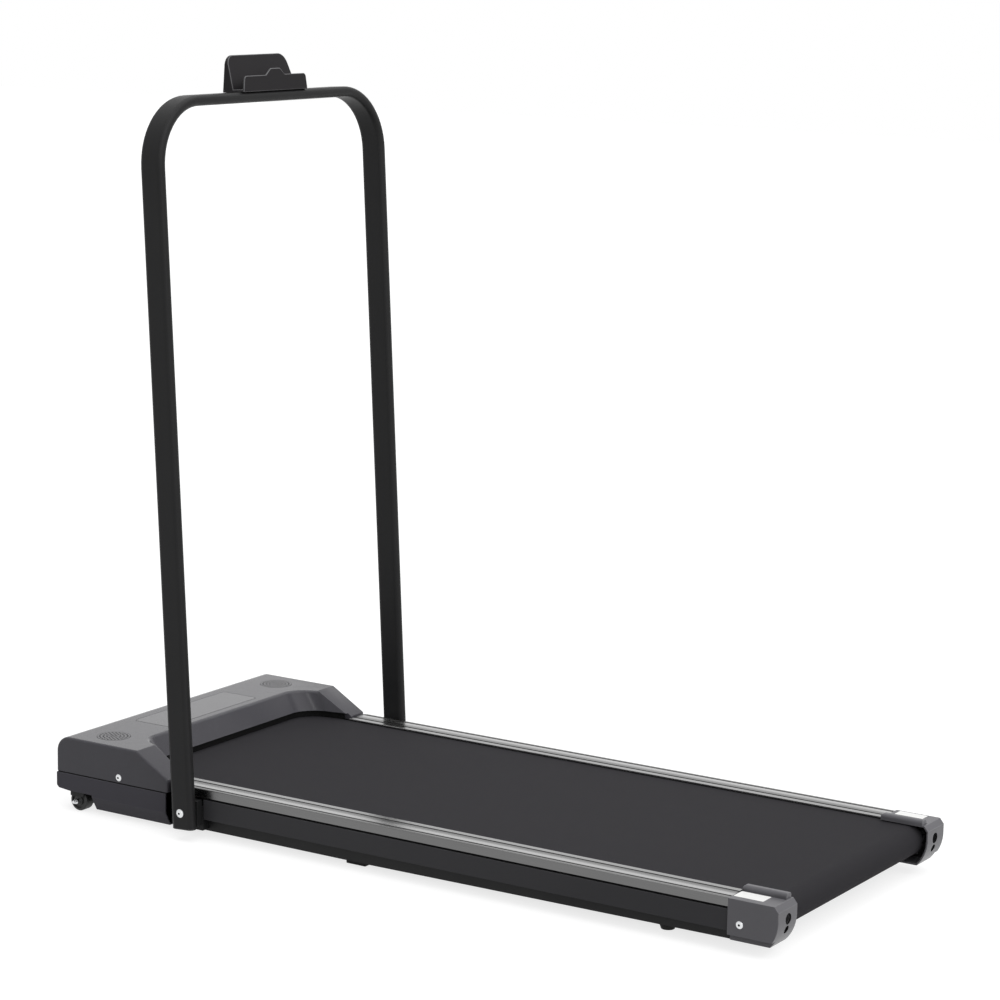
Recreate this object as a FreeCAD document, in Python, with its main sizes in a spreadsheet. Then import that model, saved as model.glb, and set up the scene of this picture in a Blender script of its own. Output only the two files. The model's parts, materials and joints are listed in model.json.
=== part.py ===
import FreeCAD, Part
import math
import os
import Sketcher
from types import SimpleNamespace

# Driving dimensions in millimetres, angles in degrees, counts and shares as plain numbers
SIZES = {
    # whole machine
    "machine_length": 1174, "deck_width": 480, "cut_overrun": 4, "seat_gap": 0.3, "running_fit": 0.05,
    # running belt, rollers and deck
    "belt_height": 69, "belt_thickness": 2, "belt_slack": 0.3,
    "roller_radius": 19.2, "roller_wall": 2.7, "rear_roller_inset": 33, "front_roller_inset": 109,
    "axle_radius": 6, "axle_overhang": 3, "bearing_radius": 14, "bearing_width": 8,
    "deck_thickness": 14, "deck_side_gap": 2, "deck_rear_gap": 30, "deck_front_gap": 36,
    "cushion_height": 4, "cushion_radius": 7, "cushion_edge": 1,
    # frame channels and cross members
    "frame_setback": 14, "channel_height": 40, "channel_gauge": 2, "channel_flange": 20,
    "channel_foot_flange": 38, "channel_rear_rise": 5, "channel_corner_rise": 18,
    "channel_rear_inset": 23, "channel_front_inset": 73, "flange_rear_inset": 59, "flange_front_inset": 151,
    "belt_take_up": 8, "cross_tube": 14, "cross_wall": 1.5, "cross_lift": 3,
    "tension_plate": 3, "tension_plate_rise": 10, "tension_bolt_radius": 4, "tension_bolt_length": 38,
    "tension_head_radius": 7, "tension_head_height": 5, "tension_bolt_setback": 8.5,
    "axle_plate_gauge": 3, "axle_plate_length": 28, "axle_plate_height": 38,
    # side rails and skirts
    "rail_width": 40, "rail_proud": 3.5, "rail_height": 12.3, "rail_skin": 2.5, "rail_edge_round": 2,
    "rail_groove_width": 3, "rail_groove_depth": 1.2, "rail_inner_land": 9, "rail_outer_land": 6,
    "rail_rib_width": 14, "rail_rib_gap": 4, "rail_lap": 2, "rail_front_round": 12,
    "skirt_gap": 3, "skirt_height": 28.5, "skirt_gauge": 2, "skirt_lip_gap": 2, "skirt_lead": 18.5,
    # end caps
    "cap_length": 72, "cap_proud": 3, "cap_wall": 2.5, "cap_drop": 48.3, "cap_lip_drop": 57.4,
    "cap_lip_setback": 8.5, "cap_reach": 51, "cap_bevel_run": 6, "cap_bevel_drop": 7.5,
    "cap_bulge": 54, "cap_belly_drop": 19.8,
    "cap_rib_width": 13, "cap_rib_rise": 6.8, "cap_rib_round": 4.5, "cap_rib_setback": 9,
    "cap_groove_width": 2.5, "cap_groove_depth": 1.5,
    "cap_upper_hole": 7.2, "cap_lower_hole": 5, "cap_hole_rise": 4, "cap_hole_pitch": 14.5,
    "cap_screw_inset": 54, "cap_screw_drop": 32,
    # small pan-head screws on the caps and the hood
    "screw_head_radius": 5, "screw_head_height": 2.2, "screw_radius": 2, "screw_length": 20,
    "screw_recess": 1.6,
    # motor hood
    "hood_length": 204, "hood_height": 108, "hood_seam": 56, "hood_wall": 2.5, "hood_front_round": 22,
    "hood_edge_round": 4, "hood_slope_run": 57, "hood_slope_drop": 33, "hood_tip_depth": 22.5,
    "hood_screw_setback": 116, "hood_screw_rise": 8, "belt_slot": 9.5, "belt_side_gap": 4, "deck_gap": 1.5,
    "recess_land": 14.5, "arm_width": 53, "recess_corner": 40, "recess_flare": 20, "recess_rake": 20,
    "recess_rake_drop": 32.5,
    # display window, speakers
    "window_width": 214, "window_length": 63, "window_setback": 35.5, "window_corner": 6,
    "window_flange": 3, "flange_gauge": 1.2, "display_board_gauge": 1.6, "display_post": 5,
    "display_post_radius": 3, "grille_radius": 24, "grille_side_inset": 45.5, "grille_setback": 69,
    "grille_hole": 1.5, "grille_ring_step": 5,
    "speaker_depth": 14, "speaker_rim": 5, "speaker_magnet_radius": 13,
    # lower cover
    "cover_wall": 3, "cover_rear_setback": 4, "cover_floor_rise": 27, "cover_deep_inset": 65,
    "seam_groove": 1.5, "cover_lip_height": 6, "cover_lip_run": 4, "cover_step_inset": 25,
    "cover_step_rise": 2, "cover_tuck": 11, "cover_tuck_rise": 20, "cover_rim": 4,
    # drive
    "tray_gauge": 2.5, "tray_inset": 6, "tray_wing_height": 22, "tray_wing_overlap": 24, "tray_notch": 15,
    "motor_radius": 27, "motor_length": 130, "motor_inset": 38, "motor_lift": 0.5, "motor_hub_length": 11.7,
    "motor_boss_radius": 12, "motor_boss_length": 6, "motor_shaft_radius": 5, "cradle_rise": 20,
    "roller_pulley_radius": 27, "pulley_ratio": 3, "pulley_width": 13, "pulley_groove": 1.2, "pulley_gap": 6,
    "pulley_hub_radius": 16, "motor_hub_radius": 7.5, "drive_belt_thickness": 2.5, "drive_belt_width": 12,
    "controller_length": 130, "controller_depth": 54, "controller_height": 30,
    "fin_height": 16, "fin_gauge": 2,
    # mains inlet and power switch on the front face
    "inlet_proud": 2, "panel_border": 1.5, "inlet_side_inset": 35, "inlet_height": 73,
    "inlet_flange_width": 31, "inlet_flange_height": 24, "inlet_body_width": 27, "inlet_body_height": 20,
    "inlet_depth": 22,
    "inlet_rim": 3, "inlet_bore_depth": 15,
    "pin_width": 2, "pin_height": 4, "pin_length": 9, "pin_pitch": 7, "pin_stagger": 2,
    "switch_pitch": 37, "switch_flange_width": 16, "switch_flange_height": 23, "switch_body_width": 13.6,
    "switch_body_height": 20.6, "switch_depth": 16, "switch_wall": 1, "rocker_tilt": 8, "rocker_crown": 1.4,
    "rocker_tip": 2.1, "rocker_pin_radius": 1.2,
    # transport wheels
    "wheel_radius": 15, "wheel_width": 17, "wheel_inset": 35, "wheel_side_gap": 7, "wheel_axle_radius": 3,
    "wheel_hub_radius": 7, "wheel_dish": 2, "wheel_round": 1.5, "wheel_screw_head": 4,
    "wheel_screw_height": 11.5, "wheel_bracket_gauge": 3, "wheel_bracket_length": 24,
    "wheel_bracket_drop": 24, "wheel_foot_width": 22, "wheel_guard_drop": 11,
    # feet
    "middle_foot_length": 32, "middle_foot_width": 18, "middle_foot_inset": 510, "foot_edge": 13,
    "rear_foot_radius": 13.5, "rear_foot_inset": 181, "rear_foot_flare": 4.5,
    # hand rail, its brackets and pivots
    "handle_reach": 990, "handle_lean": 3.3, "handle_bend": 88, "handle_drop": 22,
    "tube_thin": 15, "tube_wide": 37.5, "tube_wall": 1.5, "plug_cap": 2, "plug_depth": 12,
    "pivot_setback": 45, "pivot_height": 41, "pivot_gap": 0.4, "pivot_bolt_radius": 3, "pivot_head_radius": 6,
    "pivot_head_height": 4, "pivot_nut_radius": 5.6, "pivot_nut_height": 5, "bush_radius": 5,
    "bracket_gauge": 11.6, "bracket_back": 17, "bracket_front": 14, "bracket_below": 21, "bracket_above": 16,
    "neck_back": 18, "neck_front": 12, "neck_inset": 3,
    # phone holder
    "holder_width": 150, "holder_top_width": 134, "holder_height": 51.5, "holder_corner": 16,
    "holder_lip_height": 22.5, "holder_lip_gauge": 2.5, "holder_lip_reach": 18.4, "holder_lip_round": 6,
    "holder_back_reach": 18.5, "holder_floor": 4, "holder_shelf": 17, "holder_plate_gauge": 3,
    "holder_bump_width": 44, "holder_bump_height": 9, "holder_bump_crown": 22, "holder_bump_round": 6,
    "holder_screw_offset": 40, "holder_screw_setback": 9, "holder_screw_head": 3.5,
    "holder_screw_radius": 1.9, "holder_screw_depth": 8,
}
CROSS_MEMBER_SHARES = (0.12, 0.5, 0.9)
CUSHION_SHARES = (0.06, 0.35, 0.65, 0.94)
CONTROLLER_PLACE_SHARE = 0.7675
GRILLE_RINGS = (1, 6, 12, 18, 24)
PARALLEL_SHARE = 0.999999
PULLEY_GROOVES = 4
HEAT_SINK_FINS = 9

doc = FreeCAD.newDocument("walking_pad")
sheet = doc.addObject("Spreadsheet::Sheet", "sizes")
for row, (alias, number) in enumerate(SIZES.items(), start=1):
    sheet.set(f"A{row}", alias)
    sheet.set(f"B{row}", str(number))
    sheet.setAlias(f"B{row}", alias)
doc.recompute()


class Size:
    """A length worked out from the sheet: the expression that gives it, and its present value."""

    def __init__(self, text, value):
        self.text = text
        self.value = value

    def __add__(self, other):
        other = as_size(other)
        return Size(f"({self.text} + {other.text})", self.value + other.value)

    def __sub__(self, other):
        other = as_size(other)
        return Size(f"({self.text} - {other.text})", self.value - other.value)

    def __mul__(self, other):
        other = as_size(other)
        return Size(f"({self.text} * {other.text})", self.value * other.value)

    def __truediv__(self, other):
        other = as_size(other)
        return Size(f"({self.text} / {other.text})", self.value / other.value)

    def __neg__(self):
        return Size(f"(-1 * {self.text})", -self.value)


def as_size(number):
    return number if isinstance(number, Size) else Size(repr(number), float(number))


ZERO = as_size(0)
LEFT, RIGHT = -1, 1
SIDES = {"left": LEFT, "right": RIGHT}
size = SimpleNamespace(**{name: Size(f"sizes.{name}", float(sheet.get(name))) for name in SIZES})
over = size.cut_overrun
ALONG_X = FreeCAD.Vector(1, 0, 0)
ALONG_Y = FreeCAD.Vector(0, 1, 0)
ALONG_Z = FreeCAD.Vector(0, 0, 1)
nodes = {}


def keep(label, piece):
    """Names a finished piece of the machine."""
    piece.Label = label
    nodes[label] = piece
    return piece


def bind(piece, **values):
    for name, value in values.items():
        piece.setExpression(name.replace("__", "."), as_size(value).text)


def place(piece, x, y, z):
    bind(piece, Placement__Base__x=x, Placement__Base__y=y, Placement__Base__z=z)
    return piece


def span(side, inner, outer):
    """Lower and upper X of something that reaches from inner to outer on one side of the machine."""
    return (inner, outer) if side == RIGHT else (-outer, -inner)


def box(low, high):
    piece = doc.addObject("Part::Box", "box")
    bind(piece, Length=high[0] - low[0], Width=high[1] - low[1], Height=high[2] - low[2])
    return place(piece, *low)


def rod(axis, start, radius, length):
    """A cylinder from a start point along +X, +Y or +Z."""
    turns = {"X": (ALONG_Y, 90), "Y": (ALONG_X, -90), "Z": (ALONG_Z, 0)}
    piece = doc.addObject("Part::Cylinder", "rod")
    piece.Placement = FreeCAD.Placement(FreeCAD.Vector(), FreeCAD.Rotation(*turns[axis]))
    bind(piece, Radius=radius, Height=length)
    return place(piece, *start)


def fuse(*pieces):
    joined = doc.addObject("Part::MultiFuse", "joined")
    joined.Shapes = list(pieces)
    return joined


def cut(piece, *tools):
    trimmed = doc.addObject("Part::Cut", "trimmed")
    trimmed.Base = piece
    trimmed.Tool = tools[0] if len(tools) == 1 else fuse(*tools)
    return trimmed


def common(first, second):
    shared = doc.addObject("Part::Common", "shared")
    shared.Base = first
    shared.Tool = second
    return shared


def group(*pieces):
    together = doc.addObject("Part::Compound", "together")
    together.Links = list(pieces)
    return together


def draw_outline(sketch, corners):
    """Closes a polygon through the corners and ties each corner to the sheet."""
    count = len(corners)
    points = [FreeCAD.Vector(u.value, v.value, 0) for u, v in corners]
    for i in range(count):
        sketch.addGeometry(Part.LineSegment(points[i], points[(i + 1) % count]), False)
    for i in range(count):
        sketch.addConstraint(Sketcher.Constraint("Coincident", i, 2, (i + 1) % count, 1))
    for i, corner in enumerate(corners):
        for kind, place_along in zip(("DistanceX", "DistanceY"), corner):
            number = sketch.addConstraint(Sketcher.Constraint(kind, -1, 1, i, 1, place_along.value))
            sketch.setExpression(f"Constraints[{number}]", place_along.text)


def new_sketch(body, plane):
    sketch = body.newObject("Sketcher::SketchObject", "outline")
    origin_plane = next(each for each in body.Origin.OriginFeatures if each.Role == f"{plane}_Plane")
    sketch.AttachmentSupport = (origin_plane, [""])
    sketch.MapMode = "FlatFace"
    return sketch


def prism(plane, corners, start, length):
    """A straight piece with a polygon section: along +X from a YZ outline, -Y from XZ, +Z from XY."""
    body = doc.addObject("PartDesign::Body", "prism")
    sketch = new_sketch(body, plane)
    draw_outline(sketch, corners)
    pad = body.newObject("PartDesign::Pad", "pad")
    pad.Profile = sketch
    bind(pad, Length=length)
    axis = {"YZ": "x", "XZ": "y", "XY": "z"}[plane]
    bind(body, **{f"Placement__Base__{axis}": start})
    doc.recompute()
    return body


def turned(outline, y, z):
    """A piece turned about an axis along X: the outline holds (x, radius) corners."""
    body = doc.addObject("PartDesign::Body", "turned")
    sketch = new_sketch(body, "XY")
    draw_outline(sketch, outline)
    spin = body.newObject("PartDesign::Revolution", "spin")
    spin.Profile = sketch
    spin.ReferenceAxis = (sketch, ["H_Axis"])
    spin.Angle = 360
    bind(body, Placement__Base__y=y, Placement__Base__z=z)
    doc.recompute()
    return body


def round_edges(body, radius, wanted):
    """Rounds the edges of a body whose middle point, in the body's own frame, is wanted."""
    base = body.Tip
    shape = base.Shape
    names = [f"Edge{i}" for i, edge in enumerate(shape.Edges, start=1) if wanted(edge)]
    fillet = body.newObject("PartDesign::Fillet", "round")
    fillet.Base = (base, names)
    bind(fillet, Radius=radius)
    doc.recompute()
    return body


def near(value, target):
    return abs(value - target.value) < size.seat_gap.value


def runs_along(edge, axis):
    direction = edge.Vertexes[-1].Point - edge.Vertexes[0].Point
    return direction.Length > 0 and abs(abs(direction.normalize().dot(axis)) - 1) < 1 - PARALLEL_SHARE


# Main heights and places worked out from the driving dimensions
front = size.machine_length / 2
rear = -front
half_deck = size.deck_width / 2
rail_inner = half_deck - size.rail_width
belt_edge = rail_inner + size.rail_lap
belt_inner_radius = size.roller_radius + size.belt_slack
belt_outer_radius = belt_inner_radius + size.belt_thickness
roller_z = size.belt_height - belt_outer_radius
rear_roller_y = rear + size.rear_roller_inset
front_roller_y = front - size.front_roller_inset
deck_top = size.belt_height - size.belt_thickness
deck_bottom = deck_top - size.deck_thickness
channel_top = deck_bottom - size.cushion_height
channel_bottom = channel_top - size.channel_height
channel_rear_bottom = channel_bottom + size.channel_rear_rise
channel_rear = rear + size.channel_rear_inset
channel_front = front - size.channel_front_inset
web_outer = half_deck - size.frame_setback
web_inner = web_outer - size.channel_gauge
flange_inner = web_outer - size.channel_flange
rail_top = size.belt_height + size.rail_proud
rail_bottom = rail_top - size.rail_height
rail_rear = rear + size.cap_length
cap_top = rail_top + size.seat_gap
cap_floor = cap_top - size.cap_lip_drop
panel_face = front - size.inlet_proud
hood_rear = front - size.hood_length
hood_top = size.hood_height
pivot_y = hood_rear - size.pivot_setback
pivot_z = size.pivot_height
bracket_outer = half_deck + size.bracket_gauge
handle_inner = bracket_outer + size.pivot_gap
handle_outer = handle_inner + size.tube_thin
skirt_top = rail_bottom - size.skirt_gap
skirt_bottom = skirt_top - size.skirt_height
skirt_front = pivot_y - size.skirt_lead - size.seat_gap
axle_end = web_outer + size.axle_overhang
channel_corner = channel_bottom + size.channel_corner_rise
middle_foot_y = front - size.middle_foot_inset
rear_foot_y = rear + size.rear_foot_inset
channel_break = middle_foot_y - size.middle_foot_length

# Frame channels: pressed steel sections, open towards the middle, notched for both roller axles; their
# lower edge rises a little from the middle feet to the rear, and a wide lower flange carries the feet
for name, side in SIDES.items():
    web_low, web_high = span(side, web_inner, web_outer)
    lip_low, lip_high = span(side, flange_inner, web_inner)
    lower_edge = [(channel_front, channel_bottom), (channel_break, channel_bottom),
                  (channel_rear, channel_rear_bottom)]
    gauge = size.channel_gauge
    upper_edge = [(channel_rear, channel_top), (channel_front, channel_top)]
    web = prism("YZ", lower_edge + upper_edge, web_low, gauge)
    foot_low, foot_high = span(side, web_outer - size.channel_foot_flange, web_inner)
    lower_lip = prism("YZ", lower_edge + [(y, z + gauge) for y, z in reversed(lower_edge)], foot_low,
                      foot_high - foot_low)
    upper_lip = box((lip_low, rear + size.flange_rear_inset, channel_top - size.channel_gauge),
                    (lip_high, front - size.flange_front_inset, channel_top))
    notch_floor = roller_z - size.axle_radius
    rear_notch_end = rear_roller_y + size.axle_radius + size.belt_take_up
    rear_notch = box((web_low - over, channel_rear - over, notch_floor),
                     (web_high + over, rear_notch_end, channel_top + over))
    notch_half = size.axle_radius + size.seat_gap
    front_notch = box((web_low - over, front_roller_y - notch_half, notch_floor),
                      (web_high + over, front_roller_y + notch_half, channel_top + over))
    bolt_hole = rod("X", (web_low - over, pivot_y, pivot_z), size.pivot_bolt_radius + size.running_fit,
                    size.channel_gauge + over * 2)
    screw_hole = rod("X", (web_low - over, rear + size.cap_screw_inset, rail_top - size.cap_screw_drop),
                     size.screw_radius, size.channel_gauge + over * 2)
    corner_low, corner_high = span(side, web_outer - size.channel_foot_flange - over, web_outer + over)
    corner = box((corner_low, channel_rear - over, channel_bottom - over),
                 (corner_high, rail_rear + size.seat_gap, cap_floor + size.cap_wall + size.seat_gap))
    keep(f"{name}_frame_channel",
         cut(fuse(web, lower_lip, upper_lip), rear_notch, front_notch, bolt_hole, screw_hole, corner))

# Cross members: square tubes welded between the channels, inside the loop of the belt
cross_bottom = roller_z - belt_inner_radius + size.cross_lift
tubes = []
for share in CROSS_MEMBER_SHARES:
    tube_y = rear_roller_y + (front_roller_y - rear_roller_y) * share
    tube_rear = tube_y - size.cross_tube / 2
    tube_front = tube_y + size.cross_tube / 2
    tube_top = cross_bottom + size.cross_tube
    outside = box((-web_inner, tube_rear, cross_bottom), (web_inner, tube_front, tube_top))
    inside = box((-web_inner - over, tube_rear + size.cross_wall, cross_bottom + size.cross_wall),
                 (web_inner + over, tube_front - size.cross_wall, tube_top - size.cross_wall))
    tubes.append(cut(outside, inside))
keep("cross_members", group(*tubes))

# Deck board: a flat panel that the belt slides on, carried on rubber cushions over the channels
deck_half = web_inner - size.deck_side_gap
deck_rear = rear_roller_y + size.deck_rear_gap
deck_front = front_roller_y - size.deck_front_gap
keep("deck_board", box((-deck_half, deck_rear, deck_bottom), (deck_half, deck_front, deck_top)))
cushions = []
for side in SIDES.values():
    for share in CUSHION_SHARES:
        cushion_y = deck_rear + (deck_front - deck_rear) * share
        cushion_x = (flange_inner + size.cushion_radius + size.cushion_edge) * side
        cushions.append(rod("Z", (cushion_x, cushion_y, channel_top), size.cushion_radius,
                            size.cushion_height))
keep("deck_cushions", group(*cushions))


def belt_outline(first, second, grow):
    """Closed wire round two circles in the YZ plane, each given as (y, z, radius), grown outwards."""
    (y1, z1, r1), (y2, z2, r2) = [[each.value for each in circle] for circle in (first, second)]
    r1, r2 = r1 + grow, r2 + grow
    run = math.atan2(z2 - z1, y2 - y1)
    wrap = math.acos((r1 - r2) / math.hypot(y2 - y1, z2 - z1))

    def at(y, z, radius, angle):
        return FreeCAD.Vector(0, y + radius * math.cos(angle), z + radius * math.sin(angle))

    upper1, upper2 = at(y1, z1, r1, run + wrap), at(y2, z2, r2, run + wrap)
    lower1, lower2 = at(y1, z1, r1, run - wrap), at(y2, z2, r2, run - wrap)
    far1, far2 = at(y1, z1, r1, run + math.pi), at(y2, z2, r2, run)
    return Part.Wire([Part.LineSegment(upper1, upper2).toShape(), Part.Arc(upper2, far2, lower2).toShape(),
                      Part.LineSegment(lower2, lower1).toShape(), Part.Arc(lower1, far1, upper1).toShape()])


def belt_loop(first, second, thickness, low_x, width):
    """An endless belt round two circles: a loop that no straight or turned piece gives."""
    outer = Part.Face(belt_outline(first, second, thickness.value))
    inner = Part.Face(belt_outline(first, second, ZERO.value))
    loop = doc.addObject("Part::Feature", "loop")
    loop.Shape = outer.cut(inner).extrude(FreeCAD.Vector(width.value, 0, 0))
    loop.Placement = FreeCAD.Placement(FreeCAD.Vector(low_x.value, 0, 0), FreeCAD.Rotation())
    return loop


# Running belt: an endless loop round both rollers and the deck
keep("running_belt", belt_loop((rear_roller_y, roller_z, belt_inner_radius),
                               (front_roller_y, roller_z, belt_inner_radius),
                               size.belt_thickness, -belt_edge, belt_edge * 2))

# Rollers: steel tubes that turn on sealed bearings over fixed axles
for name, roller_y in (("rear", rear_roller_y), ("front", front_roller_y)):
    tube_bore = size.roller_radius - size.roller_wall
    step = belt_edge - size.bearing_width * 2
    keep(f"{name}_roller", turned([
        (-belt_edge, size.bearing_radius), (-belt_edge, size.roller_radius), (belt_edge, size.roller_radius),
        (belt_edge, size.bearing_radius), (step, size.bearing_radius), (step, tube_bore), (-step, tube_bore),
        (-step, size.bearing_radius)], roller_y, roller_z))
    bearing_bore = size.axle_radius + size.running_fit
    bearings = []
    for side in SIDES.values():
        low, high = span(side, belt_edge - size.bearing_width, belt_edge)
        bearings.append(turned([(low, bearing_bore), (high, bearing_bore), (high, size.bearing_radius),
                                (low, size.bearing_radius)], roller_y, roller_z))
    keep(f"{name}_roller_bearings", group(*bearings))
bolt_x = web_inner - size.tension_bolt_setback
rear_axle = rod("X", (-axle_end, rear_roller_y, roller_z), size.axle_radius, axle_end * 2)
threads = [rod("Y", (bolt_x * side, rear_roller_y - size.axle_radius - over, roller_z),
               size.tension_bolt_radius + size.running_fit, size.axle_radius * 2 + over * 2)
           for side in SIDES.values()]
keep("rear_axle", cut(rear_axle, *threads))
keep("front_axle", rod("X", (-axle_end, front_roller_y, roller_z), size.axle_radius, axle_end * 2))

# Axle plates: hold the ends of the front axle down in the notches of the channels
plates = []
for side in SIDES.values():
    low, high = span(side, web_outer, web_outer + size.axle_plate_gauge)
    half = size.axle_plate_length / 2
    plate = box((low, front_roller_y - half, roller_z - size.axle_plate_height / 2),
                (high, front_roller_y + half, roller_z + size.axle_plate_height / 2))
    plates.append(cut(plate, rod("X", (low - over, front_roller_y, roller_z), size.axle_radius,
                                 size.axle_plate_gauge + over * 2)))
keep("front_axle_plates", group(*plates))

# Belt tension: a plate across the rear end of each channel, and a hexagon bolt into the rear axle
brackets = []
plate_rear = channel_rear - size.tension_plate
for name, side in SIDES.items():
    low, high = span(side, flange_inner, web_outer)
    plate_top = channel_top + size.tension_plate_rise
    plate = box((low, plate_rear, channel_corner), (high, channel_rear, plate_top))
    bolt_hole = rod("Y", (bolt_x * side, plate_rear - over, roller_z),
                    size.tension_bolt_radius + size.running_fit, size.tension_plate + over * 2)
    brackets.append(cut(plate, bolt_hole))
    head = doc.addObject("Part::Prism", "hexagon")
    head.Placement = FreeCAD.Placement(FreeCAD.Vector(), FreeCAD.Rotation(ALONG_X, -90))
    bind(head, Circumradius=size.tension_head_radius, Height=size.tension_head_height)
    head_rear = plate_rear - size.running_fit - size.tension_head_height
    place(head, bolt_x * side, head_rear, roller_z)
    shank = rod("Y", (bolt_x * side, head_rear, roller_z), size.tension_bolt_radius, size.tension_bolt_length)
    keep(f"{name}_tension_bolt", fuse(head, shank))
keep("tension_brackets", group(*brackets))

# Side rails: grooved extrusions over the edges of the deck and the belt
rail_front = hood_rear - size.seat_gap
rail_under = rail_top - size.rail_skin
groove_floor = rail_top - size.rail_groove_depth
first_groove = rail_inner + size.rail_inner_land
second_groove = half_deck - size.rail_outer_land - size.rail_groove_width
rib_inner = belt_edge + size.rail_rib_gap
rib_outer = rib_inner + size.rail_rib_width
for name, side in SIDES.items():
    profile = [(rail_inner, rail_under), (rail_inner, rail_top)]
    for groove in (first_groove, second_groove):
        groove_end = groove + size.rail_groove_width
        profile += [(groove, rail_top), (groove, groove_floor), (groove_end, groove_floor),
                    (groove_end, rail_top)]
    profile += [(half_deck, rail_top), (half_deck, rail_bottom), (half_deck - size.rail_skin, rail_bottom),
                (half_deck - size.rail_skin, rail_under), (rib_outer, rail_under), (rib_outer, deck_top),
                (rib_inner, deck_top), (rib_inner, rail_under)]
    rail = prism("XZ", [(u * side, v) for u, v in profile], rail_front, rail_front - rail_rear)
    edge_x = half_deck * side
    round_edges(rail, size.rail_edge_round,
                lambda edge: near(edge.CenterOfMass.x, edge_x) and near(edge.CenterOfMass.z, rail_top)
                and runs_along(edge, ALONG_Y))
    low, high = span(side, half_deck - size.rail_front_round, half_deck + over)
    round_y = rail_front - size.rail_front_round
    corner = box((low, round_y, rail_bottom - over), (high, rail_front + over, rail_top + over))
    rounding = rod("Z", ((half_deck - size.rail_front_round) * side, round_y, rail_bottom - over),
                   size.rail_front_round, size.rail_height + over * 2)
    keep(f"{name}_side_rail", cut(rail, cut(corner, rounding)))

# Side skirts: folded strips that close the sides under the rails
skirt_inside = half_deck - size.skirt_gauge
for name, side in SIDES.items():
    profile = [(half_deck, skirt_bottom), (half_deck, skirt_top), (web_outer + size.skirt_lip_gap, skirt_top),
               (web_outer + size.skirt_lip_gap, skirt_top - size.skirt_gauge),
               (skirt_inside, skirt_top - size.skirt_gauge), (skirt_inside, skirt_bottom + size.skirt_gauge),
               (web_outer, skirt_bottom + size.skirt_gauge), (web_outer, skirt_bottom)]
    keep(f"{name}_side_skirt",
         prism("XZ", [(u * side, v) for u, v in profile], skirt_front, skirt_front - rail_rear))

# End caps: moulded shells over the rear ends of the rails, with a rounded rib and a groove beside the belt
cap_outer = half_deck + size.cap_proud
cap_inner = cap_outer - size.cap_reach
cap_lip = cap_outer - size.cap_lip_setback
cap_ledge = cap_top - size.cap_drop


def cap_block(low, high, inset, floor, open_end):
    """Solid form of an end cap, drawn in by a wall thickness, with a rear face that bulges in one arc."""
    bevel_y = rear + size.cap_bevel_run + inset / 2
    bevel_z = cap_top - size.cap_bevel_drop - inset / 2
    arc_end = cap_top - size.cap_belly_drop - size.cap_bulge + inset
    block = prism("YZ", [(open_end, arc_end), (open_end, cap_top - inset), (bevel_y, cap_top - inset),
                         (rear + inset, bevel_z), (rear + inset, arc_end)], low, high - low)
    round_edges(block, size.cap_bulge - inset,
                lambda edge: near(edge.CenterOfMass.y, rear + inset) and near(edge.CenterOfMass.z, arc_end))
    return cut(block, box((low - over, rear - over, arc_end - over), (high + over, open_end + over, floor)))


for name, side in SIDES.items():
    block = cap_block(*span(side, cap_inner, cap_outer), ZERO, cap_floor, rail_rear)
    wall = size.cap_wall
    open_end = rail_rear + over
    low, high = span(side, cap_lip, cap_outer + over)
    undercut = box((low, rear - over, cap_floor - over), (high, open_end, cap_ledge))
    narrow = cap_block(*span(side, cap_inner - over, cap_lip - wall), wall, cap_floor + wall, open_end)
    wide = cap_block(*span(side, cap_inner - over, cap_outer - wall), wall, cap_ledge + wall, open_end)
    hole_x = bolt_x * side
    hole_z = roller_z + size.cap_hole_rise
    holes = [rod("Y", (hole_x, rear - over, hole_z), size.cap_upper_hole, wall * 4 + over),
             rod("Y", (hole_x, rear - over, hole_z - size.cap_hole_pitch), size.cap_lower_hole,
                 wall * 4 + over)]
    screw_y = rear + size.cap_screw_inset
    screw_z = rail_top - size.cap_screw_drop
    screw_low, screw_high = span(side, cap_outer - wall - over, cap_outer + over)
    screw_hole = rod("X", (screw_low, screw_y, screw_z), size.screw_radius, screw_high - screw_low)
    low, high = span(side, cap_inner, cap_inner + size.cap_rib_width)
    rib_top = cap_top + size.cap_rib_rise
    rib = prism("XZ", [(low, cap_top - wall), (high, cap_top - wall), (high, rib_top), (low, rib_top)],
                rail_rear, size.cap_length - size.cap_rib_setback)
    round_edges(rib, size.cap_rib_round,
                lambda edge: edge.BoundBox.ZMin > cap_top.value
                and edge.CenterOfMass.y > (size.cap_rib_setback - size.cap_length).value)
    rib_end = rear + size.cap_rib_setback
    low, high = span(side, cap_inner + size.cap_rib_width,
                     cap_inner + size.cap_rib_width + size.cap_groove_width)
    groove = box((low, rib_end, cap_top - size.cap_groove_depth), (high, open_end, cap_top + over))
    shell = cut(block, undercut, narrow, wide)
    keep(f"{name}_end_cap", cut(fuse(shell, rib), groove, screw_hole, *holes))


def pan_screw(side, seat, y, z, length):
    """A pan-head screw from the side of the machine: seat is the X of the face under its head."""
    head = seat + size.screw_head_height
    recess = head - size.screw_head_height / 2
    outline = [(seat - length, ZERO), (seat - length, size.screw_radius), (seat, size.screw_radius),
               (seat, size.screw_head_radius), (recess, size.screw_head_radius),
               (head, size.screw_recess * 2), (head, size.screw_recess), (recess, size.screw_recess),
               (recess, ZERO)]
    return turned([(x * side, radius) for x, radius in outline], y, z)


keep("end_cap_screws", group(*[
    pan_screw(side, cap_outer, rear + size.cap_screw_inset, rail_top - size.cap_screw_drop, size.screw_length)
    for side in SIDES.values()]))


window_front = front - size.window_setback
window_rear = window_front - size.window_length


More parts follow.
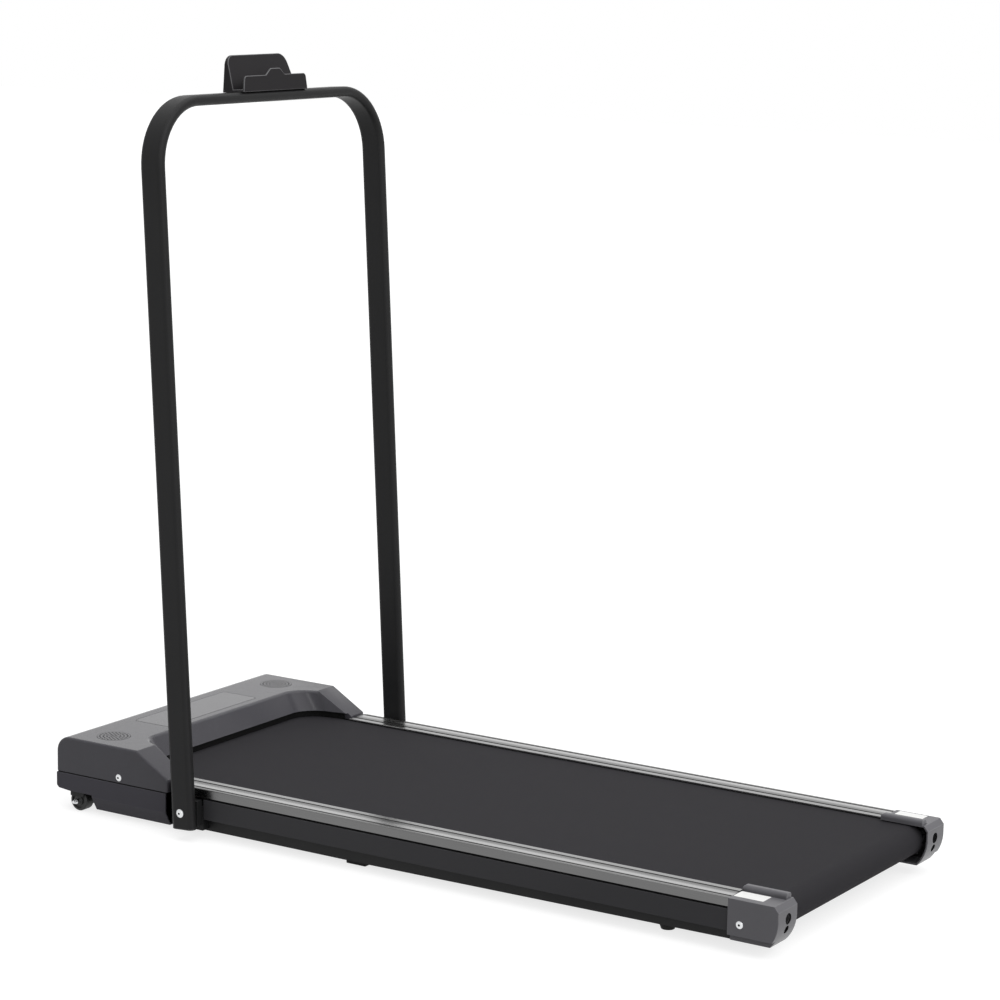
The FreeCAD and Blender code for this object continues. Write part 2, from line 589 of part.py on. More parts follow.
def hood_form(inset, bottom, tip):
    """Solid outline of the motor hood, drawn in by a wall thickness, with the recess for the belt."""
    break_y = hood_rear + size.hood_slope_run
    steep = size.hood_slope_drop / size.hood_slope_run
    tip_z = hood_top - size.hood_slope_drop - inset + (tip - hood_rear) * steep
    side_view = [(front - inset, bottom), (front - inset, hood_top - inset),
                 (break_y + inset / 2, hood_top - inset), (tip, tip_z), (tip, bottom)]
    block = prism("YZ", side_view, -half_deck + inset, (half_deck - inset) * 2)
    round_edges(block, size.hood_front_round - inset,
                lambda edge: near(edge.CenterOfMass.y, front - inset)
                and near(edge.CenterOfMass.z, hood_top - inset))
    if inset is ZERO:
        round_edges(block, size.hood_edge_round,
                    lambda edge: all(abs(point.Y - tip.value) + abs(point.Z - tip_z.value) > 0
                                     for point in edge.Vertexes)
                    and edge.BoundBox.XLength < size.seat_gap.value and edge.CenterOfMass.z > bottom.value)
    recess_half = half_deck - size.arm_width + inset
    recess_back = window_rear - size.recess_land + inset
    flare_y = hood_rear - over
    plan = [(-recess_half - size.recess_flare, flare_y), (-recess_half, recess_back),
            (recess_half, recess_back), (recess_half + size.recess_flare, flare_y)]
    recess = prism("XY", plan, hood_top, size.hood_height)
    pad = recess.Tip
    pad.UseCustomVector = True
    pad.AlongSketchNormal = True
    pad.Direction = FreeCAD.Vector(0, -size.recess_rake.value, -size.recess_rake_drop.value)
    doc.recompute()
    round_edges(recess, size.recess_corner,
                lambda edge: edge.BoundBox.ZLength > size.cut_overrun.value
                and near(edge.Vertexes[0].Y, recess_back) | near(edge.Vertexes[-1].Y, recess_back))
    return cut(block, recess)


# Motor hood: one moulded shell over the motor, with two arms beside the belt and a shallow panel for
# the mains inlet and the switch in its front wall
outside = hood_form(ZERO, size.hood_seam, hood_rear)
inside = hood_form(size.hood_wall, size.hood_seam - over, hood_rear + size.hood_tip_depth)
window_y = window_front - size.window_length / 2
under_top = hood_top - size.hood_wall


def rounded_plate(width, length, corner, middle_y, bottom, height):
    corners = [(-width / 2, middle_y - length / 2), (width / 2, middle_y - length / 2),
               (width / 2, middle_y + length / 2), (-width / 2, middle_y + length / 2)]
    plate = prism("XY", corners, bottom, height)
    return round_edges(plate, corner, lambda edge: runs_along(edge, ALONG_Z))


window_hole = rounded_plate(size.window_width, size.window_length, size.window_corner, window_y,
                            under_top - over, size.hood_wall + over * 2)
grille_x = half_deck - size.grille_side_inset
grille_y = front - size.grille_setback
grille_holes = [rod("Z", (grille_x * side, grille_y, under_top - over), size.grille_radius,
                    size.hood_wall + over * 2) for side in SIDES.values()]
hood_screw_y = front - size.hood_screw_setback
hood_screw_z = size.hood_seam + size.hood_screw_rise
hood_screw_holes = []
for side in SIDES.values():
    low, high = span(side, half_deck - size.hood_wall - over, half_deck + over)
    hood_screw_holes.append(rod("X", (low, hood_screw_y, hood_screw_z), size.screw_radius, high - low))


def panel_box(offset, width, height, back, face):
    """A block centred on the height of the mains inlet, from back to face along Y."""
    return box((offset - width / 2, back, size.inlet_height - height / 2),
               (offset + width / 2, face, size.inlet_height + height / 2))


inlet_x = half_deck - size.inlet_side_inset
switch_x = inlet_x - size.switch_pitch
panel_back = panel_face - size.hood_wall
panel_width = (size.inlet_flange_width + size.switch_flange_width) / 2 + size.switch_pitch
panel_x = inlet_x + size.inlet_flange_width / 2 - panel_width / 2
pocket_width = panel_width + size.panel_border * 2
pocket_height = size.inlet_flange_height + size.panel_border * 2
panel = panel_box(panel_x, pocket_width + size.hood_wall * 2, pocket_height + size.hood_wall * 2, panel_back,
                  front)
panel_pocket = panel_box(panel_x, pocket_width, pocket_height, panel_face, front + over)
inlet_hole = panel_box(inlet_x, size.inlet_body_width + size.seat_gap * 2,
                       size.inlet_body_height + size.seat_gap * 2, panel_back - over, front)
switch_hole = panel_box(switch_x, size.switch_body_width + size.seat_gap * 2,
                        size.switch_body_height + size.seat_gap * 2, panel_back - over, front)
belt_half = belt_edge + size.belt_side_gap
belt_way_front = front_roller_y + belt_outer_radius + size.belt_slot
belt_way = box((-belt_half, hood_rear - over, size.hood_seam - over),
               (belt_half, belt_way_front, size.belt_height + size.belt_slot))
deck_way = box((-deck_half - size.deck_gap, hood_rear - over, size.hood_seam - over),
               (deck_half + size.deck_gap, deck_front + size.deck_gap, deck_top + size.deck_gap))
shell = cut(outside, inside, belt_way, deck_way)
keep("motor_hood", cut(fuse(shell, panel), window_hole, *grille_holes, *hood_screw_holes, panel_pocket,
                       inlet_hole, switch_hole))
keep("hood_screws", group(*[pan_screw(side, half_deck, hood_screw_y, hood_screw_z, size.screw_length / 2)
                            for side in SIDES.values()]))

# Display window: a flush smoked panel with a flange under the skin of the hood, and its board
pane = rounded_plate(size.window_width - size.seat_gap * 2, size.window_length - size.seat_gap * 2,
                     size.window_corner, window_y, under_top - size.flange_gauge,
                     size.hood_wall + size.flange_gauge)
lip_half = size.window_width / 2 + size.window_flange
lip = box((-lip_half, window_rear - size.window_flange, under_top - size.flange_gauge),
          (lip_half, window_front + size.window_flange, under_top))
keep("display_window", fuse(pane, lip))
board_top = under_top - size.flange_gauge - size.display_post
board_half = size.window_width / 2 - size.window_corner
board_depth = size.window_length / 2 - size.window_corner
board = box((-board_half, window_y - board_depth, board_top - size.display_board_gauge),
            (board_half, window_y + board_depth, board_top))
post_x = board_half - size.display_post
post_y = board_depth - size.display_post
posts = [rod("Z", (post_x * across, window_y + post_y * along, board_top), size.display_post_radius,
             size.display_post) for across in (-1, 1) for along in (-1, 1)]
keep("display_board", fuse(board, *posts))

# Speakers: drilled grilles flush with the hood, each with a driver behind it
grilles = []
drivers = []
for side in SIDES.values():
    centre_x = grille_x * side
    disc = rod("Z", (centre_x, grille_y, under_top - size.flange_gauge), size.grille_radius - size.seat_gap,
               size.hood_wall + size.flange_gauge)
    rim = rod("Z", (centre_x, grille_y, under_top - size.flange_gauge),
              size.grille_radius + size.window_flange, size.flange_gauge)
    holes = []
    for ring, count in enumerate(GRILLE_RINGS):
        for i in range(count):
            angle = 2 * math.pi * i / count
            holes.append(rod("Z", (centre_x + size.grille_ring_step * ring * math.cos(angle),
                                   grille_y + size.grille_ring_step * ring * math.sin(angle),
                                   under_top - size.flange_gauge - over),
                             size.grille_hole, size.hood_wall + size.flange_gauge + over * 2))
    grilles.append(cut(fuse(disc, rim), *holes))
    driver_top = under_top - size.flange_gauge
    basket = rod("Z", (centre_x, grille_y, driver_top - size.speaker_rim), size.grille_radius,
                 size.speaker_rim)
    magnet = rod("Z", (centre_x, grille_y, driver_top - size.speaker_depth), size.speaker_magnet_radius,
                 size.speaker_depth - size.speaker_rim)
    drivers.append(fuse(basket, magnet))
keep("speaker_grilles", group(*grilles))
keep("speakers", group(*drivers))

# Lower cover: an open tray under the motor, deep behind and raised over the transport wheels
cover_rear = hood_rear + size.cover_rear_setback
cover_bottom = channel_bottom - size.cover_wall
deep_front = front - size.cover_deep_inset
raised_floor = cover_bottom + size.cover_floor_rise
rim_floor = raised_floor - size.cover_rim
cover_top = size.hood_seam - size.seam_groove


def tray_block(inset, top):
    lip_floor = rim_floor + size.cover_step_rise
    outline = [(front - inset, top), (front - inset, rim_floor + size.cover_lip_height - inset),
               (front - size.cover_lip_run, lip_floor),
               (front - size.cover_step_inset, rim_floor), (deep_front, rim_floor),
               (deep_front, cover_bottom), (cover_rear, cover_bottom), (cover_rear, top)]
    return prism("YZ", outline, -half_deck + inset, (half_deck - inset) * 2)


def tuck(inset):
    """The sloped strips by which the sides of the cover draw in towards the floor."""
    edge_x = half_deck - inset
    ledge = cover_bottom + size.cover_tuck_rise
    strips = []
    for side in SIDES.values():
        corners = [(edge_x - size.cover_tuck, cover_bottom), (edge_x, ledge), (half_deck + over, ledge),
                   (half_deck + over, cover_bottom - over), (edge_x - size.cover_tuck, cover_bottom - over)]
        strips.append(prism("XZ", [(u * side, v) for u, v in corners], front + over,
                            front - cover_rear + over * 2))
    return strips


wall = size.cover_wall
tray_floor = raised_floor + wall
hollow = [(front - wall, size.hood_seam + over),
          (front - wall, raised_floor + size.cover_lip_height),
          (front - size.cover_lip_run - wall, tray_floor), (deep_front - wall, tray_floor),
          (deep_front - wall, cover_bottom + wall), (cover_rear - over, cover_bottom + wall),
          (cover_rear - over, size.hood_seam + over)]
hollow_half = half_deck - wall
tray_hollow = cut(prism("YZ", hollow, -hollow_half, hollow_half * 2), *tuck(wall))
wheel_y = front - size.wheel_inset
well_front = wheel_y + size.wheel_bracket_length / 2 + size.seat_gap
wheel_well = box((-hollow_half, deep_front, rim_floor - over), (hollow_half, well_front, raised_floor))
keep("lower_cover", cut(fuse(tray_block(ZERO, cover_top), tray_block(wall / 2, size.hood_seam)), tray_hollow,
                        wheel_well, *tuck(ZERO)))

# Motor tray: a folded plate between the channels, which carries the motor and its controller
tray_top = tray_floor + size.tray_gauge
tray_front = front - size.tray_inset - size.cover_lip_run
tray_plate = box((-web_inner, deep_front - wall, tray_floor), (web_inner, tray_front, tray_top))
wings = []
for side in SIDES.values():
    low, high = span(side, web_inner - size.tray_gauge, web_inner)
    wings.append(box((low, channel_front - size.tray_wing_overlap, tray_floor),
                     (high, tray_front, tray_floor + size.tray_wing_height)))
belt_notch = box((-web_inner + size.tray_gauge, deep_front - wall - over, tray_floor - over),
                 (-belt_edge, deep_front + size.tray_notch, tray_top + over))
keep("motor_tray", fuse(cut(tray_plate, belt_notch), *wings))

# Drive motor: a can with a front boss, on a cradle, turning a small ribbed pulley
motor_y = front - size.motor_inset - size.inlet_proud
motor_z = tray_top + size.motor_lift + size.motor_radius
pulley_right = -belt_edge - size.pulley_gap
pulley_left = pulley_right - size.pulley_width
motor_hub_end = pulley_right + size.motor_hub_length
boss_left = motor_hub_end + size.seat_gap
motor_left = boss_left + size.motor_boss_length
motor_right = motor_left + size.motor_length
shaft_bore = size.motor_shaft_radius + size.running_fit
keep("drive_motor", turned([
    (motor_right, ZERO), (motor_right, size.motor_radius), (motor_left, size.motor_radius),
    (motor_left, size.motor_boss_radius), (boss_left, size.motor_boss_radius), (boss_left, shaft_bore),
    (motor_left + size.motor_radius, shaft_bore), (motor_left + size.motor_radius, ZERO)], motor_y, motor_z))
cradle_half = size.motor_radius - size.channel_gauge
cradle = box((motor_left + size.motor_radius, motor_y - cradle_half, tray_top),
             (motor_right - size.motor_radius / 2, motor_y + cradle_half, tray_top + size.cradle_rise))
motor_seat = rod("X", (motor_left, motor_y, motor_z), size.motor_radius, size.motor_length)
keep("motor_cradle", cut(cradle, motor_seat))
keep("motor_shaft", rod("X", (pulley_left, motor_y, motor_z), size.motor_shaft_radius,
                        motor_left + size.motor_radius - pulley_left - size.running_fit))


def ribbed_pulley(radius, bore, hub_radius, hub_end, y, z):
    """A pulley with round V grooves; a hub reaches from its inner face to hub_end."""
    outline = [(hub_end, bore), (pulley_left, bore), (pulley_left, radius)]
    pitch = size.pulley_width / PULLEY_GROOVES
    for i in range(PULLEY_GROOVES):
        outline += [(pulley_left + pitch * (i + 0.5), radius - size.pulley_groove),
                    (pulley_left + pitch * (i + 1), radius)]
    outline += [(pulley_right, hub_radius), (hub_end, hub_radius)]
    return turned(outline, y, z)


motor_pulley_radius = size.roller_pulley_radius / size.pulley_ratio
keep("motor_pulley", ribbed_pulley(motor_pulley_radius, size.motor_shaft_radius, size.motor_hub_radius,
                                   motor_hub_end, motor_y, motor_z))
keep("roller_pulley", ribbed_pulley(size.roller_pulley_radius, size.axle_radius + size.seat_gap,
                                    size.pulley_hub_radius, -belt_edge, front_roller_y, roller_z))
drive_slack = size.belt_slack
drive_low = pulley_left + (size.pulley_width - size.drive_belt_width) / 2
keep("drive_belt", belt_loop((front_roller_y, roller_z, size.roller_pulley_radius + drive_slack),
                             (motor_y, motor_z, motor_pulley_radius + drive_slack),
                             size.drive_belt_thickness, drive_low, size.drive_belt_width))

# Motor controller: a closed box on the tray, cooled by a finned block
controller_room = switch_x - size.switch_body_width / 2 - motor_right
controller_left = motor_right + (controller_room - size.controller_length) * CONTROLLER_PLACE_SHARE
controller_right = controller_left + size.controller_length
controller_rear = motor_y - size.controller_depth / 2
controller_front = controller_rear + size.controller_depth
controller_top = tray_top + size.controller_height
keep("motor_controller", box((controller_left, controller_rear, tray_top),
                             (controller_right, controller_front, controller_top)))
sink_base = box((controller_left, controller_rear, controller_top),
                (controller_right, controller_front, controller_top + size.fin_gauge))
fins = []
for i in range(HEAT_SINK_FINS):
    fin_x = controller_left + (size.controller_length - size.fin_gauge) * (i / (HEAT_SINK_FINS - 1))
    fins.append(box((fin_x, controller_rear, controller_top),
                    (fin_x + size.fin_gauge, controller_front, controller_top + size.fin_height)))
keep("heat_sink", fuse(sink_base, *fins))


# Mains inlet: a flanged socket with three flat pins, in the front panel of the hood
inlet_back = panel_face - size.inlet_depth
inlet_flange = panel_box(inlet_x, size.inlet_flange_width, size.inlet_flange_height, panel_face, front)
inlet_body = panel_box(inlet_x, size.inlet_body_width, size.inlet_body_height, inlet_back, panel_face)
bore_back = front - size.inlet_bore_depth
inlet_bore = panel_box(inlet_x, size.inlet_body_width - size.inlet_rim * 2,
                       size.inlet_body_height - size.inlet_rim * 2, bore_back, front + over)
pins = []
for across, rise in ((-1, -1), (0, 1), (1, -1)):
    pin_x = inlet_x + size.pin_pitch * across - size.pin_width / 2
    pin_z = size.inlet_height + size.pin_stagger * rise - size.pin_height / 2
    pins.append(box((pin_x, bore_back - size.pin_width, pin_z),
                    (pin_x + size.pin_width, bore_back + size.pin_length, pin_z + size.pin_height)))
keep("mains_inlet", fuse(cut(fuse(inlet_flange, inlet_body), inlet_bore), *pins))

# Power switch: a snap-in housing with a rocker that tips about a cross axis
switch_back = panel_face - size.switch_depth
switch_flange = panel_box(switch_x, size.switch_flange_width, size.switch_flange_height, panel_face,
                          panel_face + size.inlet_proud / 2)
switch_body = panel_box(switch_x, size.switch_body_width, size.switch_body_height, switch_back, panel_face)
well_width = size.switch_body_width - size.switch_wall * 2
well_height = size.switch_body_height - size.switch_wall * 2
well = panel_box(switch_x, well_width, well_height, switch_back + size.switch_wall, front + over)
rocker_y = panel_face - size.rocker_crown * 2
pin_half = size.switch_body_width / 2 - size.seat_gap
pin_way = rod("X", (switch_x - size.switch_body_width / 2 - over, rocker_y, size.inlet_height),
              size.rocker_pin_radius + size.running_fit, size.switch_body_width + over * 2)
keep("switch_housing", cut(fuse(switch_flange, switch_body), well, pin_way))
rocker_half = well_height / 2 - size.seat_gap * 2
rocker_width = well_width - size.seat_gap * 2
rocker = prism("YZ", [(-rocker_half / 2, -rocker_half / 2), (size.rocker_tip, -rocker_half),
                      (size.rocker_crown, ZERO), (size.rocker_tip, rocker_half),
                      (-rocker_half / 2, rocker_half / 2)], switch_x - rocker_width / 2, rocker_width)
rocker.Placement = FreeCAD.Placement(FreeCAD.Vector(), FreeCAD.Rotation(ALONG_X, 1))
bind(rocker, Placement__Base__x=switch_x - rocker_width / 2, Placement__Base__y=rocker_y,
     Placement__Base__z=size.inlet_height, Placement__Rotation__Angle=-size.rocker_tilt)
rocker_pin = rod("X", (switch_x - pin_half, rocker_y, size.inlet_height), size.rocker_pin_radius,
                 pin_half * 2)
keep("switch_rocker", fuse(rocker, rocker_pin))

# Transport wheels: moulded wheels on shoulder screws under the front of the tray, behind short guards
wheel_z = size.wheel_radius
wheel_outer = half_deck - size.wheel_side_gap
wheel_inner = wheel_outer - size.wheel_width
wheel_bore = size.wheel_axle_radius + size.running_fit
axles = []
forks = []
for name, side in SIDES.items():
    dish_low = wheel_inner + size.wheel_dish
    dish_high = wheel_outer - size.wheel_dish
    rim_radius = size.wheel_radius - size.wheel_dish * 2
    outline = [(wheel_inner, wheel_bore), (wheel_inner, size.wheel_hub_radius),
               (dish_low, size.wheel_hub_radius), (dish_low, rim_radius), (wheel_inner, rim_radius),
               (wheel_inner, size.wheel_radius - size.wheel_round),
               (wheel_inner + size.wheel_round, size.wheel_radius),
               (wheel_outer - size.wheel_round, size.wheel_radius),
               (wheel_outer, size.wheel_radius - size.wheel_round), (wheel_outer, rim_radius),
               (dish_high, rim_radius), (dish_high, size.wheel_hub_radius),
               (wheel_outer, size.wheel_hub_radius), (wheel_outer, wheel_bore)]
    keep(f"{name}_transport_wheel", turned([(x * side, radius) for x, radius in outline], wheel_y, wheel_z))
    plate_high = wheel_inner - size.seat_gap
    plate_low = plate_high - size.wheel_bracket_gauge
    head_seat = wheel_outer + size.seat_gap
    screw = [(plate_low, ZERO), (plate_low, size.wheel_axle_radius), (head_seat, size.wheel_axle_radius),
             (head_seat, size.wheel_screw_head),
             (head_seat + size.wheel_screw_height / 2, size.wheel_screw_head),
             (head_seat + size.wheel_screw_height, size.wheel_screw_head / 2),
             (head_seat + size.wheel_screw_height, ZERO)]
    axles.append(turned([(x * side, radius) for x, radius in screw], wheel_y, wheel_z))
    low, high = span(side, plate_low, plate_high)
    half = size.wheel_bracket_length / 2
    upright = box((low, wheel_y - half, raised_floor - size.wheel_bracket_drop),
                  (high, wheel_y + half, raised_floor))
    foot_low, foot_high = span(side, plate_high - size.wheel_foot_width, plate_high)
    foot = box((foot_low, wheel_y - half, raised_floor - size.wheel_bracket_gauge),
               (foot_high, wheel_y + half, raised_floor))
    forks.append(cut(fuse(upright, foot), rod("X", (low - over, wheel_y, wheel_z), size.wheel_axle_radius,
                                              size.wheel_bracket_gauge + over * 2)))
    low, high = span(side, head_seat, head_seat + size.wheel_bracket_gauge)
    forks.append(box((low, wheel_y - half, raised_floor - size.wheel_guard_drop),
                     (high, wheel_y + half, raised_floor)))
keep("wheel_screws", group(*axles))
keep("wheel_brackets", group(*forks))

# Feet: rubber blocks and studs under the channels
foot_slope = size.channel_rear_rise / (channel_break - channel_rear)
rear_foot_height = channel_bottom + (channel_break - rear_foot_y - size.rear_foot_radius) * foot_slope
middle_feet = []
rear_feet = []
for side in SIDES.values():
    foot_outer = web_outer - size.foot_edge
    low, high = span(side, foot_outer - size.middle_foot_width, foot_outer)
    half = size.middle_foot_length / 2
    middle_feet.append(box((low, middle_foot_y - half, ZERO), (high, middle_foot_y + half, channel_bottom)))
    stud = doc.addObject("Part::Cone", "stud")
    bind(stud, Radius1=size.rear_foot_radius - size.rear_foot_flare, Radius2=size.rear_foot_radius,
         Height=rear_foot_height)
    rear_feet.append(place(stud, (foot_outer - size.rear_foot_radius) * side, rear_foot_y, ZERO))
keep("middle_feet", group(*middle_feet))
keep("rear_feet", group(*rear_feet))

# Hand rail brackets: a pad beside each leg on a neck welded to the channel
bolts = []
nuts = []
for name, side in SIDES.items():
    pad_low, pad_high = span(side, half_deck, bracket_outer)
    neck_low, neck_high = span(side, web_outer, half_deck)
    pad = box((pad_low, pivot_y - size.bracket_back, pivot_z - size.bracket_below),
              (pad_high, pivot_y + size.bracket_front, pivot_z + size.bracket_above))
    neck = box((neck_low, pivot_y - size.neck_back, channel_bottom + size.neck_inset),
               (neck_high, pivot_y + size.neck_front, channel_top - size.neck_inset / 2))
    low, high = span(side, web_outer - over, bracket_outer + over)
    bolt_hole = rod("X", (low, pivot_y, pivot_z), size.pivot_bolt_radius, high - low)
    keep(f"{name}_handle_bracket", cut(fuse(pad, neck), bolt_hole))
    nut_end = web_inner - size.pivot_nut_height
    head_seat = handle_outer + size.running_fit
    head_end = head_seat + size.pivot_head_height
    recess = head_end - size.pivot_head_height / 2
    nut = [(nut_end, size.pivot_bolt_radius), (nut_end, size.pivot_nut_radius),
           (web_inner, size.pivot_nut_radius), (web_inner, size.pivot_bolt_radius)]
    nuts.append(turned([(x * side, radius) for x, radius in nut], pivot_y, pivot_z))
    outline = [(nut_end, ZERO), (nut_end, size.pivot_bolt_radius), (head_seat, size.pivot_bolt_radius),
               (head_seat, size.pivot_head_radius), (recess, size.pivot_head_radius),
               (head_end, size.pivot_head_radius / 2), (head_end, size.screw_recess),
               (recess, size.screw_recess), (recess, ZERO)]
    bolts.append(turned([(x * side, radius) for x, radius in outline], pivot_y, pivot_z))
keep("pivot_bolts", group(*bolts))
keep("pivot_nuts", group(*nuts))


def lean(piece):
    """Sets a piece that is drawn upright about the pivot to the lean of the hand rail."""
    piece.Placement = FreeCAD.Placement(FreeCAD.Vector(), FreeCAD.Rotation(ALONG_X, 1))
    bind(piece, Placement__Base__y=pivot_y, Placement__Base__z=pivot_z,
         Placement__Rotation__Angle=-size.handle_lean)
    return piece


# Hand rail: one flat-oval steel tube bent into an arch
leg_x = handle_outer - size.tube_thin / 2
bar_z = size.handle_reach - size.tube_thin / 2


def add_line(sketch, start, end):
    sketch.addGeometry(Part.LineSegment(FreeCAD.Vector(*start, 0), FreeCAD.Vector(*end, 0)))


def add_distance(sketch, kind, geometry, end, length):
    number = sketch.addConstraint(Sketcher.Constraint(kind, -1, 1, geometry, end, length.value))
    sketch.setExpression(f"Constraints[{number}]", length.text)


def add_radius(sketch, geometry, radius):
    number = sketch.addConstraint(Sketcher.Constraint("Radius", geometry, radius.value))
    sketch.setExpression(f"Constraints[{number}]", radius.text)


def arch_path(body):
    sketch = new_sketch(body, "XZ")
    side, top, bend = leg_x.value, bar_z.value, size.handle_bend.value
    legs_end = -size.handle_drop.value
    left_bend = Part.Circle(FreeCAD.Vector(bend - side, top - bend, 0), ALONG_Z, bend)
    right_bend = Part.Circle(FreeCAD.Vector(side - bend, top - bend, 0), ALONG_Z, bend)
    add_line(sketch, (-side, legs_end), (-side, top - bend))
    sketch.addGeometry(Part.ArcOfCircle(left_bend, math.pi / 2, math.pi))
    add_line(sketch, (bend - side, top), (side - bend, top))
    sketch.addGeometry(Part.ArcOfCircle(right_bend, 0, math.pi / 2))
    add_line(sketch, (side, top - bend), (side, legs_end))
    for first, end, second, start in ((0, 2, 1, 2), (1, 1, 2, 1), (2, 2, 3, 2), (3, 1, 4, 1)):
        sketch.addConstraint(Sketcher.Constraint("Tangent", first, end, second, start))
    add_distance(sketch, "DistanceX", 0, 1, -leg_x)
    add_distance(sketch, "DistanceY", 0, 1, -size.handle_drop)
    add_distance(sketch, "DistanceX", 4, 2, leg_x)
    add_distance(sketch, "DistanceY", 4, 2, -size.handle_drop)
    add_distance(sketch, "DistanceY", 2, 1, bar_z)
    sketch.addConstraint(Sketcher.Constraint("Vertical", 0))
    sketch.addConstraint(Sketcher.Constraint("Vertical", 4))
    add_radius(sketch, 1, size.handle_bend)
    add_radius(sketch, 3, size.handle_bend)
    return sketch


def oval_section(body, inset):
    """Flat-oval section at the foot of the left leg: two straight sides and two half circles."""
    sketch = new_sketch(body, "XY")
    bind(sketch, AttachmentOffset__Base__z=-size.handle_drop)
    middle = -leg_x
    radius = size.tube_thin / 2 - inset
    half = (size.tube_wide - size.tube_thin) / 2
    low = Part.Circle(FreeCAD.Vector(middle.value, -half.value, 0), ALONG_Z, radius.value)
    high = Part.Circle(FreeCAD.Vector(middle.value, half.value, 0), ALONG_Z, radius.value)
    right, left = (middle + radius).value, (middle - radius).value
    add_line(sketch, (right, -half.value), (right, half.value))
    sketch.addGeometry(Part.ArcOfCircle(high, 0, math.pi))
    add_line(sketch, (left, half.value), (left, -half.value))
    sketch.addGeometry(Part.ArcOfCircle(low, math.pi, 2 * math.pi))
    for first, second in ((0, 1), (1, 2), (2, 3), (3, 0)):
        sketch.addConstraint(Sketcher.Constraint("Tangent", first, 2, second, 1))
    add_distance(sketch, "DistanceX", 1, 3, middle)
    add_distance(sketch, "DistanceY", 1, 3, half)
    add_distance(sketch, "DistanceX", 3, 3, middle)
    add_distance(sketch, "DistanceY", 3, 3, -half)
    add_radius(sketch, 1, radius)
    return sketch


arch = doc.addObject("PartDesign::Body", "arch")
path = arch_path(arch)
outer_section = oval_section(arch, ZERO)
inner_section = oval_section(arch, size.tube_wall)
doc.recompute()
sweep = arch.newObject("PartDesign::AdditivePipe", "tube")
sweep.Profile = outer_section
sweep.Spine = path
doc.recompute()
bore = arch.newObject("PartDesign::SubtractivePipe", "bore")
bore.Profile = inner_section
bore.Spine = path
doc.recompute()
lean(arch)
bush_length = size.tube_thin
bush_holes = []
bushes = []
for side in SIDES.values():
    low, high = span(side, handle_inner, handle_outer)
    bush_holes.append(rod("X", (low - over, pivot_y, pivot_z), size.bush_radius, bush_length + over * 2))
    sleeve = rod("X", (low, pivot_y, pivot_z), size.bush_radius, bush_length)
    bush_bore = rod("X", (low - over, pivot_y, pivot_z), size.pivot_bolt_radius + size.running_fit,
                    bush_length + over * 2)
    bushes.append(cut(sleeve, bush_bore))
keep("pivot_bushes", group(*bushes))


def oval_bar(x, thin, wide, low, high):
    """A flat-oval bar standing along Z in the upright frame of the hand rail."""
    half = (wide - thin) / 2
    middle = box((x - thin / 2, -half, low), (x + thin / 2, half, high))
    ends = [rod("Z", (x, half * end, low), thin / 2, high - low) for end in (-1, 1)]
    return fuse(middle, *ends)


plugs = []
for side in SIDES.values():
    plug_x = leg_x * side
    leg_end = -size.handle_drop
    plug = fuse(oval_bar(plug_x, size.tube_thin, size.tube_wide, leg_end - size.plug_cap, leg_end),
                oval_bar(plug_x, size.tube_thin - size.tube_wall * 2, size.tube_wide - size.tube_wall * 2,
                         leg_end - size.plug_cap / 2, leg_end + size.plug_depth))
    plugs.append(plug)
keep("handle_plugs", lean(group(*plugs)))

# Phone holder: a moulded cradle screwed to the top of the arch, with a sloped back and a front lip
seat = size.handle_reach
lip_out = -size.holder_lip_reach
lip_in = lip_out + size.holder_lip_gauge
shelf = seat + size.holder_floor
plate_foot = lip_in + size.holder_shelf
back = size.holder_back_reach
holder_top = seat + size.holder_height
lip_top = seat + size.holder_lip_height
half = size.holder_width / 2
holder_side = prism("YZ", [(lip_out, seat), (lip_out, shelf), (plate_foot, shelf),
                           (back - size.holder_plate_gauge, holder_top), (back, holder_top), (back, seat)],
                    -half, size.holder_width)
top_half = size.holder_top_width / 2


def tapered_front(inset, start, depth):
    """Front view of the holder, narrower towards its top, drawn in from the sides."""
    return prism("XZ", [(inset - half, seat), (half - inset, seat), (top_half - inset, holder_top),
                        (inset - top_half, holder_top)], start, depth)


holder_front = tapered_front(ZERO, back + over, size.holder_lip_reach + back + over * 2)
round_edges(holder_front, size.holder_corner,
            lambda edge: runs_along(edge, ALONG_Y) and edge.CenterOfMass.z > lip_top.value)
pocket_inset = size.holder_plate_gauge
pocket_top = holder_top - pocket_inset * 2
pocket_side = prism("YZ", [(plate_foot + pocket_inset, shelf), (back - pocket_inset / 2, pocket_top),
                           (back + over, pocket_top), (back + over, shelf)], -half, size.holder_width)
pocket = common(pocket_side, tapered_front(pocket_inset, back + over, back - lip_out))
lip_half = half - (half - top_half) * size.holder_lip_height / size.holder_height
lip = prism("XZ", [(-half, seat), (half, seat), (lip_half, lip_top), (-lip_half, lip_top)], lip_in,
            size.holder_lip_gauge)
round_edges(lip, size.holder_lip_round,
            lambda edge: runs_along(edge, ALONG_Y) and near(edge.CenterOfMass.z, lip_top))
bump_half = size.holder_bump_width / 2
crown_half = size.holder_bump_crown / 2
bump = prism("XZ", [(-bump_half, lip_top), (-crown_half, lip_top + size.holder_bump_height),
                    (crown_half, lip_top + size.holder_bump_height), (bump_half, lip_top)], lip_in,
             size.holder_lip_gauge)
round_edges(bump, size.holder_bump_round,
            lambda edge: runs_along(edge, ALONG_Y)
            and edge.CenterOfMass.z > (lip_top + size.seat_gap).value)
screw_y = back - size.holder_screw_setback
screw_seats = [(size.holder_screw_offset * side, screw_y) for side in SIDES.values()]
screw_bores = [rod("Z", (x, y, seat - over), size.holder_screw_radius, size.holder_floor + over * 2)
               for x, y in screw_seats]
holder = cut(fuse(common(holder_side, holder_front), lip, bump), pocket, *screw_bores)
keep("phone_holder", lean(group(holder)))
